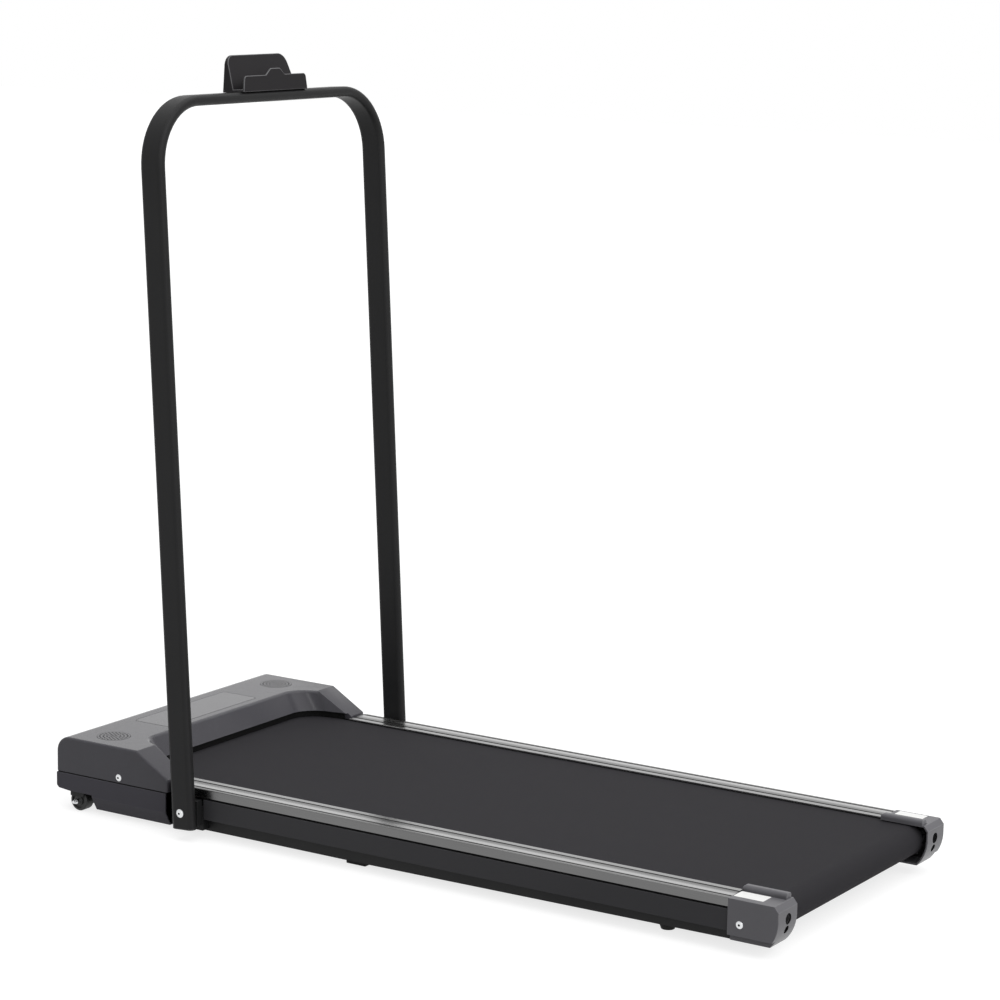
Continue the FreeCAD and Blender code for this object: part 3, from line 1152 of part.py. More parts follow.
holder_screws = [fuse(rod("Z", (x, y, seat - size.holder_screw_depth), size.holder_screw_radius,
                          size.holder_screw_depth + size.holder_floor),
                      rod("Z", (x, y, shelf), size.holder_screw_head, size.holder_floor / 2))
                 for x, y in screw_seats]
keep("holder_screws", lean(group(*holder_screws)))
tube_bores = lean(group(*[rod("Z", (x, y, seat - size.holder_screw_depth - over), size.holder_screw_radius,
                              size.holder_screw_depth + over * 2) for x, y in screw_seats]))
keep("hand_rail", cut(arch, *bush_holes, tube_bores))

# Every object has to be sound before anything is written
doc.recompute()
for each in doc.Objects:
    if "Invalid" in each.State or "Error" in each.State:
        raise RuntimeError(f"{each.Name} ({each.Label}) failed: {each.State}")
for label, piece in nodes.items():
    if piece.Shape.isNull() or not piece.Shape.isValid() or not piece.Shape.Solids:
        raise RuntimeError(f"{label} has no sound solid")

os.makedirs("parts", exist_ok=True)
for label, piece in nodes.items():
    piece.Shape.exportStep(f"parts/{label}.step")
print(len(nodes), "pieces written")
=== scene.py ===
import json
import math

import bmesh
import bpy
from mathutils import Matrix, Vector


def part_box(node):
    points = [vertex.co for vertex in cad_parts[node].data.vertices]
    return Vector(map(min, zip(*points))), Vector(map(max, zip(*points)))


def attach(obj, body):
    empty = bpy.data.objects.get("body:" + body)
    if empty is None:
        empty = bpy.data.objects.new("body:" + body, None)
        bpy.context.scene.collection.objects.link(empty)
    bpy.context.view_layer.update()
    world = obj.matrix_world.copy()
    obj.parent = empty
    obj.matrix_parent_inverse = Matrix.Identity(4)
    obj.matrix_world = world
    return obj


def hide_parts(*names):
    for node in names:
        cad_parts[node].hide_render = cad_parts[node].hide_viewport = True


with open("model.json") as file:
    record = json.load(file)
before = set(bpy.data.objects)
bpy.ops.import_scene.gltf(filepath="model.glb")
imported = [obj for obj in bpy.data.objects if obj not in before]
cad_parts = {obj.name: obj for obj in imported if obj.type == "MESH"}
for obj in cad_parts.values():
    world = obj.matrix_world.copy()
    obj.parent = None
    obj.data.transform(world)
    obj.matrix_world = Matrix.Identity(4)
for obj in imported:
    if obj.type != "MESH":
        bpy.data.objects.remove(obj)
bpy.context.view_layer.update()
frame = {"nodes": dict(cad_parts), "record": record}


# Steel frame: two folded channels, three square cross tubes, the front axle plates and the wheel brackets.
# Sheet steel and tube, welded and powder coated black, so the faces have a fine orange peel.
MIX_COLOURS = (6, 7)
MIX_RESULT = 2


class Wire:
    """One socket of a material's tree. Sums written with it add Math nodes."""

    def __init__(self, tree, socket):
        self.tree = tree
        self.socket = socket

    def add(self, kind, settings, sockets, output=0):
        """Adds a node of any kind and returns one of its outputs."""
        node = self.tree.nodes.new("ShaderNode" + kind)
        for name, value in settings.items():
            if name == "stops":
                ramp = node.color_ramp.elements
                while len(ramp) < len(value):
                    ramp.new(1)
                for stop, (position, shade) in zip(ramp, value):
                    stop.position = position
                    stop.color = (shade, shade, shade, 1)
            else:
                setattr(node, name, value)
        for name, value in sockets.items():
            if isinstance(value, Wire):
                self.tree.links.new(value.socket, node.inputs[name])
            else:
                node.inputs[name].default_value = value
        return Wire(self.tree, node.outputs[output])

    def sum(self, operation, first, second=0):
        """Adds a Math node."""
        return self.add("Math", {"operation": operation}, {0: first, 1: second})

    def __add__(self, other):
        return self.sum("ADD", self, other)

    def __radd__(self, other):
        return self.sum("ADD", other, self)

    def __sub__(self, other):
        return self.sum("SUBTRACT", self, other)

    def __rsub__(self, other):
        return self.sum("SUBTRACT", other, self)

    def __mul__(self, other):
        return self.sum("MULTIPLY", self, other)

    def __rmul__(self, other):
        return self.sum("MULTIPLY", other, self)


def finish(name, **constants):
    """A new material, its shader with the constants set, and the piece's own coordinates."""
    material = bpy.data.materials.new(name)
    material.use_nodes = True
    tree = material.node_tree
    shader = tree.nodes["Principled BSDF"]
    for socket, value in constants.items():
        shader.inputs[socket.replace("_", " ")].default_value = value
    place = tree.nodes.new("ShaderNodeTexCoord").outputs["Object"]
    return material, shader, Wire(tree, place)


def feed(shader, **wires):
    """Links wires to the shader's sockets."""
    for socket, wire in wires.items():
        wire.tree.links.new(wire.socket, shader.inputs[socket.replace("_", " ")])


def noise(place, lump, detail=2, stretch=(1, 1, 1)):
    """Noise from 0 to 1 in lumps of about one size, drawn out where stretch is small."""
    scale = [share / lump for share in stretch]
    spread = place.add("Mapping", {}, {"Vector": place, "Scale": scale})
    return place.add("TexNoise", {}, {"Vector": spread, "Scale": 1, "Detail": detail})


def swing(wire, width):
    """Turns a noise from 0 to 1 into one as wide as width that swings about 0."""
    return width * (wire - 0.5)


def blend(factor, first, second):
    """One colour fading into another."""
    sockets = {0: factor}
    for socket, colour in zip(MIX_COLOURS, (first, second)):
        sockets[socket] = colour if isinstance(colour, Wire) else (*colour, 1)
    return factor.add("Mix", {"data_type": "RGBA"}, sockets, output=MIX_RESULT)


def bump(height, depth):
    """Relief as deep as depth, in metres."""
    return height.add("Bump", {}, {"Distance": depth, "Height": height})


def dress(material, *nodes):
    """Gives nodes of the frame a finish."""
    for node in nodes:
        slots = frame["nodes"][node].data.materials
        slots.clear()
        slots.append(material)


def powder_coat(name, dark, pale, roughness, sheen, peel):
    """Baked powder: even colour, soft gloss and a fine orange peel."""
    material, shader, place = finish(name, Specular_IOR_Level=sheen)
    cloud = noise(place, lump=0.09)
    smear = noise(place, lump=0.012)
    pebble = noise(place, lump=peel, detail=1)
    feed(
        shader,
        Base_Color=blend(cloud, dark, pale),
        Roughness=roughness + swing(smear, width=0.10),
        Normal=bump(pebble, depth=0.00006),
    )
    return material


frame_coat = powder_coat(
    "frame_powder_coat",
    dark=(0.012, 0.012, 0.0125),
    pale=(0.018, 0.018, 0.0185),
    roughness=0.5,
    sheen=0.2,
    peel=0.0006,
)
dress(
    frame_coat,
    "left_frame_channel",
    "right_frame_channel",
    "cross_members",
    "front_axle_plates",
    "wheel_brackets",
)


# Deck board: the stiff board that the belt slides on.
# Pressed wood fibre, filmed and sealed almost black, lying on the rubber cushions over the channels.
def mottled(name, dark, pale, smooth, rough, lump, detail=3, stretch=(1, 1, 1), depth=0, **constants):
    """A finish with one noise: from dark and smooth to pale and rough, and in relief if it has a depth."""
    material, shader, place = finish(name, **constants)
    mark = noise(place, lump, detail, stretch)
    feed(shader, Base_Color=blend(mark, dark, pale), Roughness=smooth + (rough - smooth) * mark)
    if depth:
        feed(shader, Normal=bump(mark, depth))
    return material


fibre_board = mottled(
    "deck_fibre_board",
    dark=(0.014, 0.011, 0.009),
    pale=(0.034, 0.027, 0.022),
    smooth=0.6,
    rough=0.75,
    lump=0.004,
    detail=6,
    stretch=(1, 0.35, 1),
    depth=0.00008,
    Specular_IOR_Level=0.3,
)
dress(fibre_board, "deck_board")


# Deck cushions: the rubber discs between the deck board and the channels.
# Moulded black rubber, dull, with a faint bloom, seated on the channels' upper flanges.
def rubber(name, dark, pale, roughness):
    """Moulded rubber: dull, with a faint bloom and a fine skin."""
    material, shader, place = finish(name, Specular_IOR_Level=0.3)
    bloom = noise(place, lump=0.008, detail=4)
    skin = noise(place, lump=0.0005)
    feed(
        shader,
        Base_Color=blend(bloom, dark, pale),
        Roughness=roughness + swing(bloom, width=0.12),
        Normal=bump(skin, depth=0.00004),
    )
    return material


soft_rubber = rubber(
    "soft_black_rubber", dark=(0.010, 0.010, 0.010), pale=(0.022, 0.022, 0.021), roughness=0.75
)
dress(soft_rubber, "deck_cushions")


# Rollers, axles and bearings: the belt turns on a driven front roller and a free rear roller.
# Turned steel, zinc plated, with fine tool rings round the drums; the bearings are bright ground steel.
def turned_metal(name, dark, pale, roughness, ring):
    """Metal with fine rings round X in gloss and relief, and a faint smear over it."""
    material, shader, place = finish(name, Metallic=1)
    rings = noise(place, lump=ring, detail=3, stretch=(1, 0.04, 0.04))
    smear = noise(place, lump=0.015, detail=3)
    feed(
        shader,
        Base_Color=blend(smear, dark, pale),
        Roughness=roughness + swing(rings, width=0.15) + swing(smear, width=0.10),
        Normal=bump(rings, depth=0.00002),
    )
    return material


plain_steel = turned_metal(
    "turned_steel", dark=(0.42, 0.42, 0.43), pale=(0.55, 0.55, 0.56), roughness=0.38, ring=0.0008
)
ground_steel = turned_metal(
    "ground_steel", dark=(0.60, 0.60, 0.61), pale=(0.72, 0.72, 0.73), roughness=0.24, ring=0.0005
)
dress(plain_steel, "rear_roller", "rear_axle", "front_roller", "front_axle")
dress(ground_steel, "rear_roller_bearings", "front_roller_bearings")


# Belt tension parts: a hexagon bolt at each side pulls the rear axle back towards a bracket.
# Steel plate brackets in the frame's coat across the channels' ends, bolts of blackened turned steel.
WELD = 0.00001
FLAT = math.radians(1)
CREASE = math.radians(25)
ROOM_SHARE = 1.5
# Eased faces that look further down than this get no painted highlight.
HIGHLIGHT_LEAST_RISE = -0.2
RIM_STEPS = 4

body_of = {}
for body, members in frame["record"]["behaviour"]["bodies"].items():
    for member in members:
        body_of[member] = body


def stands_for(piece, node):
    """Puts a new piece on the body of the node that it takes the place of."""
    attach(piece, body_of[node])
    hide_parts(node)


def shaped(work, name, material):
    """Turns finished modelling work into an object, smooth except over its creases."""
    mesh = bpy.data.meshes.new(name)
    work.to_mesh(mesh)
    work.free()
    mesh.shade_smooth()
    mesh.set_sharp_from_angle(angle=CREASE)
    mesh.materials.append(material)
    piece = bpy.data.objects.new(name, mesh)
    bpy.context.scene.collection.objects.link(piece)
    even = piece.modifiers.new("even_shading", "WEIGHTED_NORMAL")
    even.keep_sharp = True
    return piece


def roomy(edge, radius):
    """Whether the faces beside an edge leave room for a rounding."""
    for corner in edge.verts:
        along = edge.other_vert(corner).co - corner.co
        for other in corner.link_edges:
            beside = any(face in other.link_faces for face in edge.link_faces)
            if other is edge or not beside or other.calc_length() > radius * ROOM_SHARE:
                continue
            turn = along.angle(other.other_vert(corner).co - corner.co)
            if CREASE < turn < math.pi - CREASE:
                return False
    return True


def ease(work, edges, radius, segments):
    """Rounds edges and marks the new faces that don't look down for a painted highlight."""
    made = bmesh.ops.bevel(
        work,
        geom=[edge for edge in edges if roomy(edge, radius)],
        affect="EDGES",
        offset=radius,
        segments=segments,
        profile=0.5,
        material=-1,
        clamp_overlap=False,
    )
    rubbed = work.faces.layers.float["rubbed"]
    for face in made["faces"]:
        face.normal_update()
        if face.normal.z > HIGHLIGHT_LEAST_RISE:
            face[rubbed] = 1


def eased(node, name, material, radius=0, segments=2, rim=None, rim_radius=0):
    """A copy of a node with its outer edges eased, those of a rim to a radius of their own."""
    work = bmesh.new()
    work.from_mesh(frame["nodes"][node].data)
    work.faces.layers.float.new("rubbed")
    bmesh.ops.remove_doubles(work, verts=work.verts, dist=WELD)
    bmesh.ops.dissolve_limit(work, verts=work.verts, edges=work.edges, angle_limit=FLAT)
    if rim:
        chosen = [edge for edge in work.edges if edge.calc_face_angle_signed(0) > FLAT and rim(edge)]
        ease(work, chosen, rim_radius, RIM_STEPS)
    if radius:
        chosen = [edge for edge in work.edges if edge.calc_face_angle_signed(0) > CREASE]
        ease(work, chosen, radius, segments)
    piece = shaped(work, name, material)
    stands_for(piece, node)
    return piece


oxide = turned_metal(
    "black_oxide", dark=(0.020, 0.020, 0.022), pale=(0.036, 0.036, 0.038), roughness=0.42, ring=0.0009
)
dress(frame_coat, "tension_brackets")
for side in ("left", "right"):
    eased(f"{side}_tension_bolt", f"{side}_tension_bolt_turned", oxide, radius=0.0002)


# Running belt: one endless band round both rollers.
# Woven polyester faced with dull black PVC, pressed with a fine diamond grain that grips the shoe.
BELT_EDGE = 0.0005
BELT_EDGE_STEPS = 3
BELT_TURN_STEPS = 32
BELT_GRAIN = 0.0021
belt_low, belt_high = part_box("running_belt")
roller_low, roller_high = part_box("rear_roller")
drum_low, drum_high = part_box("front_roller")
rear_centre = (roller_low + roller_high) / 2
front_centre = (drum_low + drum_high) / 2
belt_turn = (belt_high.z - belt_low.z) / 2
belt_gauge = belt_turn - (roller_high.z - roller_low.z) / 2
belt_run = front_centre.y - rear_centre.y


def rounded_rectangle(width, length, corner, steps):
    """New modelling work with one flat face about the origin, its corners rounded."""
    work = bmesh.new()
    bmesh.ops.create_grid(work, x_segments=1, y_segments=1, size=0.5)
    bmesh.ops.scale(work, verts=work.verts, vec=(width, length, 1))
    bmesh.ops.bevel(
        work, geom=work.verts, affect="VERTICES", offset=corner, segments=steps, profile=0.5, material=-1
    )
    return work


def run_on(work, edges, step):
    """Draws open edges out in a straight line and gives the new end."""
    made = bmesh.ops.extrude_edge_only(work, edges=edges)["geom"]
    moved = [part for part in made if isinstance(part, bmesh.types.BMVert)]
    bmesh.ops.translate(work, verts=moved, vec=step)
    return [part for part in made if isinstance(part, bmesh.types.BMEdge)]


def turn_on(work, edges, centre, axis, angle, steps):
    """Draws open edges round a bend and gives the new end."""
    made = bmesh.ops.spin(
        work, geom=edges, cent=centre, axis=axis, angle=angle, steps=steps, use_duplicate=False
    )["geom_last"]
    return [part for part in made if isinstance(part, bmesh.types.BMEdge)]


work = rounded_rectangle(belt_high.x - belt_low.x, belt_gauge, BELT_EDGE, BELT_EDGE_STEPS)
bmesh.ops.rotate(work, verts=work.verts, matrix=Matrix.Rotation(math.pi / 2, 3, "X"))
section_middle = Vector((0, front_centre.y, belt_high.z - belt_gauge / 2))
bmesh.ops.translate(work, verts=work.verts, vec=section_middle)
bmesh.ops.delete(work, geom=work.faces, context="FACES_ONLY")
end = run_on(work, work.edges[:], Vector((0, -belt_run, 0)))
end = turn_on(work, end, rear_centre, (1, 0, 0), math.pi, BELT_TURN_STEPS)
end = run_on(work, end, Vector((0, belt_run, 0)))
turn_on(work, end, front_centre, (1, 0, 0), math.pi, BELT_TURN_STEPS)
bmesh.ops.remove_doubles(work, verts=work.verts, dist=WELD)
bmesh.ops.recalc_face_normals(work, faces=work.faces)

flow = work.loops.layers.uv.new("flow")
for face in work.faces:
    middle = face.calc_center_median()
    for corner in face.loops:
        point = corner.vert.co
        if middle.y < rear_centre.y:
            round_rear = math.atan2(rear_centre.y - point.y, point.z - rear_centre.z)
            along = belt_run + belt_turn * round_rear
        elif middle.y > front_centre.y:
            round_front = math.atan2(point.y - front_centre.y, front_centre.z - point.z)
            along = belt_run * 2 + belt_turn * (math.pi + round_front)
        elif middle.z > front_centre.z:
            along = front_centre.y - point.y
        else:
            along = belt_run + belt_turn * math.pi + point.y - rear_centre.y
        corner[flow].uv = (point.x, along)

belt_pvc, belt_shader, belt_place = finish("belt_pvc", Specular_IOR_Level=0.1)
belt_flow = belt_place.add("UVMap", {"uv_map": "flow"}, {})
split_flow = {"Vector": belt_flow}
across = belt_flow.add("SeparateXYZ", {}, split_flow, output="X") * (math.pi / BELT_GRAIN)
along = belt_flow.add("SeparateXYZ", {}, split_flow, output="Y") * (math.pi / BELT_GRAIN)
lean = across.sum("SINE", across + along)
back_lean = across.sum("SINE", across - along)
diamonds = across.sum("ABSOLUTE", lean * back_lean)
scuff = noise(belt_place, lump=0.03, detail=5, stretch=(1, 0.2, 1))
speck = noise(belt_place, lump=0.0007)
feed(
    belt_shader,
    Base_Color=blend(0.6 * scuff + 0.4 * speck, (0.0198, 0.0190, 0.0214), (0.0288, 0.0277, 0.0310)),
    Roughness=0.82 + swing(scuff, width=0.12),
    Normal=bump(diamonds + 0.5 * speck, depth=0.00010),
)
belt = shaped(work, "running_belt_loop", belt_pvc)
stands_for(belt, "running_belt")


# Side rails: the grooved foot rails that cover the edges of the belt.
# Extruded aluminium, brushed along its length and anodised dark grey, with painted sheen along its lands
# and painted shade in its grooves, held by the hood and the end caps.
RAIL_SHEEN_AND_SHADE_SHARES = (
    (0.00, 0.24),
    (0.20, 0.22),
    (0.24, 0.06),
    (0.30, 0.06),
    (0.45, 0.14),
    (0.64, 0.36),
    (0.75, 0.30),
    (0.79, 0.05),
    (0.84, 0.05),
    (0.88, 0.12),
    (0.96, 0.13),
    (1.00, 0.11),
)
rail_low, rail_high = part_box("right_side_rail")
rail_metal, rail_shader, rail_place = finish("brushed_aluminium", Metallic=1)
rail_side = rail_place.add("SeparateXYZ", {}, {"Vector": rail_place}, output="X")
rail_across = (rail_place.sum("ABSOLUTE", rail_side) - rail_low.x) * (1 / (rail_high.x - rail_low.x))
# The ramp across the profile paints sheen on the lands and shade in the grooves.
rail_sheen_and_shade = rail_place.add("ValToRGB", {"stops": RAIL_SHEEN_AND_SHADE_SHARES}, {"Fac": rail_across})
hairline = noise(rail_place, lump=0.0005, detail=3, stretch=(1, 0.006, 1))
streak = noise(rail_place, lump=0.004, stretch=(1, 0.01, 1))
patch = noise(rail_place, lump=0.25)
feed(
    rail_shader,
    Base_Color=rail_sheen_and_shade * (1.03 + 0.34 * hairline + 0.34 * patch),
    Roughness=0.26 + swing(hairline, width=0.14) + swing(streak, width=0.10),
    Normal=bump(hairline, depth=0.000012),
)
for side in ("left", "right"):
    eased(
        f"{side}_side_rail", f"{side}_side_rail_extrusion", rail_metal, radius=0.00035
    )


# Side skirts: the dark strips under the rails that hide the steel channels.
# Extruded plastic with a faint draw grain along its length, clipped over the channels.
# The pale tone of the painted highlight on eased edges.
EDGE_HIGHLIGHT_TONE = (0.30, 0.30, 0.31)


def moulded(name, dark, pale, roughness, sheen, pit, depth, stretch=(1, 1, 1), lacquer=0, edge_highlight=0.12):
    """Moulded plastic: spark-eroded grain in colour, gloss and relief, with a pale painted highlight on its
    eased edges.
    """
    material, shader, place = finish(
        name, Specular_IOR_Level=sheen, Coat_Weight=lacquer, Coat_IOR=1.2, Coat_Roughness=0.25
    )
    pitted = noise(place, lump=pit, detail=3, stretch=stretch)
    flowed = noise(place, lump=0.06)
    edge = place.add("Attribute", {"attribute_name": "rubbed"}, {}, output="Fac")
    body_tone = blend(0.5 * pitted + 0.5 * flowed, dark, pale)
    # Eased faces that don't look down are painted paler as a highlight.
    feed(
        shader,
        Base_Color=blend(edge * flowed * edge_highlight, body_tone, EDGE_HIGHLIGHT_TONE),
        Roughness=roughness + swing(pitted, width=0.14) + swing(flowed, width=0.08),
        Normal=bump(pitted, depth),
    )
    return material


skirt_plastic = moulded(
    "skirt_plastic",
    dark=(0.0225, 0.0222, 0.0244),
    pale=(0.0335, 0.0330, 0.0362),
    roughness=0.55,
    sheen=0.2,
    pit=0.0007,
    depth=0.00004,
    stretch=(1, 0.05, 1),
)
for side in ("left", "right"):
    eased(f"{side}_side_skirt", f"{side}_side_skirt_extrusion", skirt_plastic, radius=0.0006)


# End caps: the corner mouldings that close the rails behind and cover the tension bolts.
# Grey moulded plastic with a coarse grain, each held by one side screw, with two holes in its end face;
# the upper hole lets a key reach the bolt.
CAP_HOLE_REACH = 0.0085
CAP_HOLE_RISE = 0.004
CAP_HOLE_PITCH = 0.0145
HOLE_WALL_LEAN = 0.5
cap_plastic = moulded(
    "cap_plastic",
    dark=(0.098, 0.096, 0.104),
    pale=(0.132, 0.130, 0.141),
    roughness=0.38,
    sheen=0.12,
    pit=0.0009,
    depth=0.00006,
    lacquer=0.5,
    edge_highlight=0.28,
)
# A near-black finish that paints shade into holes, screw sockets and the cover's seam.
painted_shade = mottled(
    "painted_shade",
    dark=(0.004, 0.004, 0.004),
    pale=(0.018, 0.018, 0.018),
    smooth=0.7,
    rough=0.9,
    lump=0.0006,
    Specular_IOR_Level=0.1,
)


def darken(piece, hidden):
    """Gives the faces that a test picks out a near-black painted shade."""
    mesh = piece.data
    mesh.materials.append(painted_shade)
    for face in mesh.polygons:
        if hidden([mesh.vertices[i].co for i in face.vertices], face.normal):
            face.material_index = 1


def cap_holes(side):
    """The middles of the upper and the lower hole of an end cap."""
    bolt_low, bolt_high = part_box(f"{side}_tension_bolt")
    upper = (bolt_low + bolt_high) / 2 + Vector((0, 0, CAP_HOLE_RISE))
    return upper, upper - Vector((0, 0, CAP_HOLE_PITCH))


def hole_walls(side):
    """A test for the walls of an end cap's holes."""
    holes = cap_holes(side)

    def in_hole(corners, normal):
        for hole in holes:
            near = all(math.hypot(point.x - hole.x, point.z - hole.z) < CAP_HOLE_REACH for point in corners)
            if near and abs(normal.y) < HOLE_WALL_LEAN:
                return True
        return False

    return in_hole


for side in ("left", "right"):
    cap = eased(f"{side}_end_cap", f"{side}_end_cap_moulding", cap_plastic, radius=0.0006)
    # The walls of both holes are painted with near-black shade.
    darken(cap, hole_walls(side))


# Shade pads: a black pad inside each end cap, behind the lower hole, which paints the hole's shade black.
# A dull black felt finish, cut to a small rectangle.
PAD_WIDTH = 0.021
PAD_HEIGHT = 0.0125
PAD_GAUGE = 0.001
PAD_CORNER = 0.0015
PAD_INSET = 0.0055
PAD_SHIFT = 0.0025
PAD_LEAN = math.radians(18)
CORNER_STEPS = 4
shade_felt = mottled(
    "black_shade_felt",
    dark=(0.003, 0.003, 0.003),
    pale=(0.010, 0.010, 0.010),
    smooth=0.85,
    rough=0.95,
    lump=0.0004,
    detail=4,
    depth=0.0002,
    Specular_IOR_Level=0.05,
)
for side, inward in (("left", 1), ("right", -1)):
    pad_middle = cap_holes(side)[1]
    pad_middle.x += inward * PAD_SHIFT
    pad_middle.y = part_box(f"{side}_end_cap")[0].y + PAD_INSET
    work = rounded_rectangle(PAD_WIDTH, PAD_HEIGHT, PAD_CORNER, CORNER_STEPS)
    bmesh.ops.rotate(work, verts=work.verts, matrix=Matrix.Rotation(math.pi / 2 + PAD_LEAN, 3, "X"))
    bmesh.ops.translate(work, verts=work.verts, vec=pad_middle)
    bmesh.ops.solidify(work, geom=work.faces, thickness=PAD_GAUGE)
    pad = shaped(work, f"{side}_shade_pad", shade_felt)
    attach(pad, "base")


# Film patches: a blank rectangle of pale film stuck on top of each end cap.
# Thin white vinyl, faintly mottled, pressed down flat.
FILM_WIDTH = 0.023
FILM_LENGTH = 0.042
FILM_GAUGE = 0.00015
FILM_CORNER = 0.0012
FILM_INSETS = {"left": (0.0225, 0.049), "right": (0.0145, 0.044)}
CAP_STEP = 0.0003
film = mottled(
    "pale_vinyl",
    dark=(0.78, 0.78, 0.77),
    pale=(0.88, 0.88, 0.87),
    smooth=0.38,
    rough=0.53,
    lump=0.006,
    detail=4,
    Specular_IOR_Level=0.4,
)
for side, inward in (("left", 1), ("right", -1)):
    side_inset, rear_inset = FILM_INSETS[side]
    cap_low, cap_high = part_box(f"{side}_end_cap")
    cap_reach = max(-cap_low.x, cap_high.x)
    cap_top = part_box(f"{side}_side_rail")[1].z + CAP_STEP
    film_place = (inward * (side_inset - cap_reach), cap_low.y + rear_inset, cap_top + FILM_GAUGE)
    work = rounded_rectangle(FILM_WIDTH, FILM_LENGTH, FILM_CORNER, CORNER_STEPS)
    bmesh.ops.translate(work, verts=work.verts, vec=film_place)
    bmesh.ops.solidify(work, geom=work.faces, thickness=FILM_GAUGE)
    stuck_film = shaped(work, f"{side}_film_patch", film)
    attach(stuck_film, "base")


# Cap and hood screws: round heads with a small round socket, one screw at each side of the pad.
# Cold-formed steel in bright zinc plate, driven in from the side; the socket is painted dark as its shade.
SOCKET_REACH = 0.0019
SCREW_HEAD = 0.0023


def shade_sockets(piece):
    """Paints shade into the socket in the head of each screw of a piece; the screws lie along X."""
    heads = {}
    for vertex in piece.data.vertices:
        side = math.copysign(1, vertex.co.x)
        heads.setdefault(side, []).append(vertex.co)
    middles = {}
    for side, points in heads.items():
        y = (min(point.y for point in points) + max(point.y for point in points)) / 2
        z = (min(point.z for point in points) + max(point.z for point in points)) / 2
        seat = max(point.x * side for point in points) - SCREW_HEAD
        middles[side] = (y, z, seat)

    def in_socket(corners, normal):
        side = math.copysign(1, corners[0].x)
        y, z, seat = middles[side]
        inside = all(math.hypot(point.y - y, point.z - z) < SOCKET_REACH for point in corners)
        return inside and all(point.x * side > seat for point in corners)

    darken(piece, in_socket)


zinc = turned_metal(
    "zinc_plate", dark=(0.62, 0.63, 0.64), pale=(0.74, 0.75, 0.76), roughness=0.26, ring=0.0009
)
for screws in ("end_cap_screws", "hood_screws"):
    shade_sockets(eased(screws, f"{screws}_formed", zinc))


# Drive: the motor in its cradle on the tray turns the front roller through a belt on grooved pulleys.
# Painted steel can, plated tray and cradle, turned pulleys and black rubber belt.
motor_paint = powder_coat(
    "motor_paint",
    dark=(0.018, 0.018, 0.020),
    pale=(0.026, 0.026, 0.028),
    roughness=0.42,
    sheen=0.45,
    peel=0.0009,
)
pulley_metal = turned_metal(
    "pulley_alloy", dark=(0.50, 0.50, 0.51), pale=(0.62, 0.62, 0.63), roughness=0.34, ring=0.0007
)
drive_rubber = rubber(
    "drive_belt_rubber", dark=(0.008, 0.008, 0.008), pale=(0.016, 0.016, 0.016), roughness=0.68
)
dress(motor_paint, "drive_motor")
dress(plain_steel, "motor_tray", "motor_cradle", "motor_shaft")
dress(pulley_metal, "motor_pulley", "roller_pulley")
dress(drive_rubber, "drive_belt")


# Motor controller: the sealed box that feeds the motor, on its finned heat sink.
# Black moulded case, extruded aluminium fins.
case_plastic = moulded(
    "case_plastic",
    dark=(0.016, 0.016, 0.017),
    pale=(0.026, 0.026, 0.027),
    roughness=0.55,
    sheen=0.4,
    pit=0.0008,
    depth=0.00005,
)
fin_metal = turned_metal(
    "fin_aluminium", dark=(0.52, 0.52, 0.53), pale=(0.64, 0.64, 0.65), roughness=0.40, ring=0.0010
)
eased("motor_controller", "motor_controller_case", case_plastic, radius=0.0015, segments=3)
dress(fin_metal, "heat_sink")


# Lower cover: the belly shell under the hood, from the front face back to the belt.
# Black moulded plastic with a fine grain, fitted up under the hood's lower edge with a narrow seam whose step
# is painted with shade.
SEAM_DEPTH = 0.0016
cover_plastic = moulded(
    "cover_plastic",
    dark=(0.0490, 0.0472, 0.0556),
    pale=(0.0640, 0.0616, 0.0726),
    roughness=0.5,
    sheen=0.1,
    pit=0.0008,
    depth=0.00006,
)
seam_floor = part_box("lower_cover")[1].z - SEAM_DEPTH


def in_seam(corners, normal):
    """The shadowed step at the top of the cover, under the hood's edge."""
    return all(point.z > seam_floor for point in corners)


cover = eased("lower_cover", "lower_cover_moulding", cover_plastic, radius=0.0008)
# The step of the seam gets near-black painted shade.
darken(cover, in_seam)


# Motor hood: the upper shell over the drive, with a recess that the belt runs into.
# Dark grey moulded plastic with a fine satin grain, held by two side screws.
HOOD_RIM_DROP = 0.028
HOOD_RIM_SETBACK = 0.111
HOOD_RIM_INSET = 0.0035
HOOD_RIM_LEAST_TURN = math.radians(15)
HOOD_RIM_MOST_TURN = math.radians(100)
hood_plastic = moulded(
    "hood_plastic",
    dark=(0.0530, 0.0516, 0.0588),
    pale=(0.0692, 0.0675, 0.0769),
    roughness=0.26,
    sheen=0.1,
    pit=0.0008,
    depth=0.00002,
    lacquer=0.68,
)
hood_low, hood_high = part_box("motor_hood")
rim_front = hood_high.y - HOOD_RIM_SETBACK
rim_side = hood_high.x - HOOD_RIM_INSET
rim_foot = hood_high.z - HOOD_RIM_DROP


def on_rim(edge):
    """The edges round the recess and across the arms."""
    points = [corner.co for corner in edge.verts]
    behind = all(point.y < rim_front and abs(point.x) < rim_side for point in points)
    turned = HOOD_RIM_LEAST_TURN < edge.calc_face_angle(0) < HOOD_RIM_MOST_TURN
    return behind and turned and max(point.z for point in points) > rim_foot


eased(
    "motor_hood",
    "motor_hood_moulding",
    hood_plastic,
    radius=0.001,
    segments=3,
    rim=on_rim,
    rim_radius=0.0035,
)


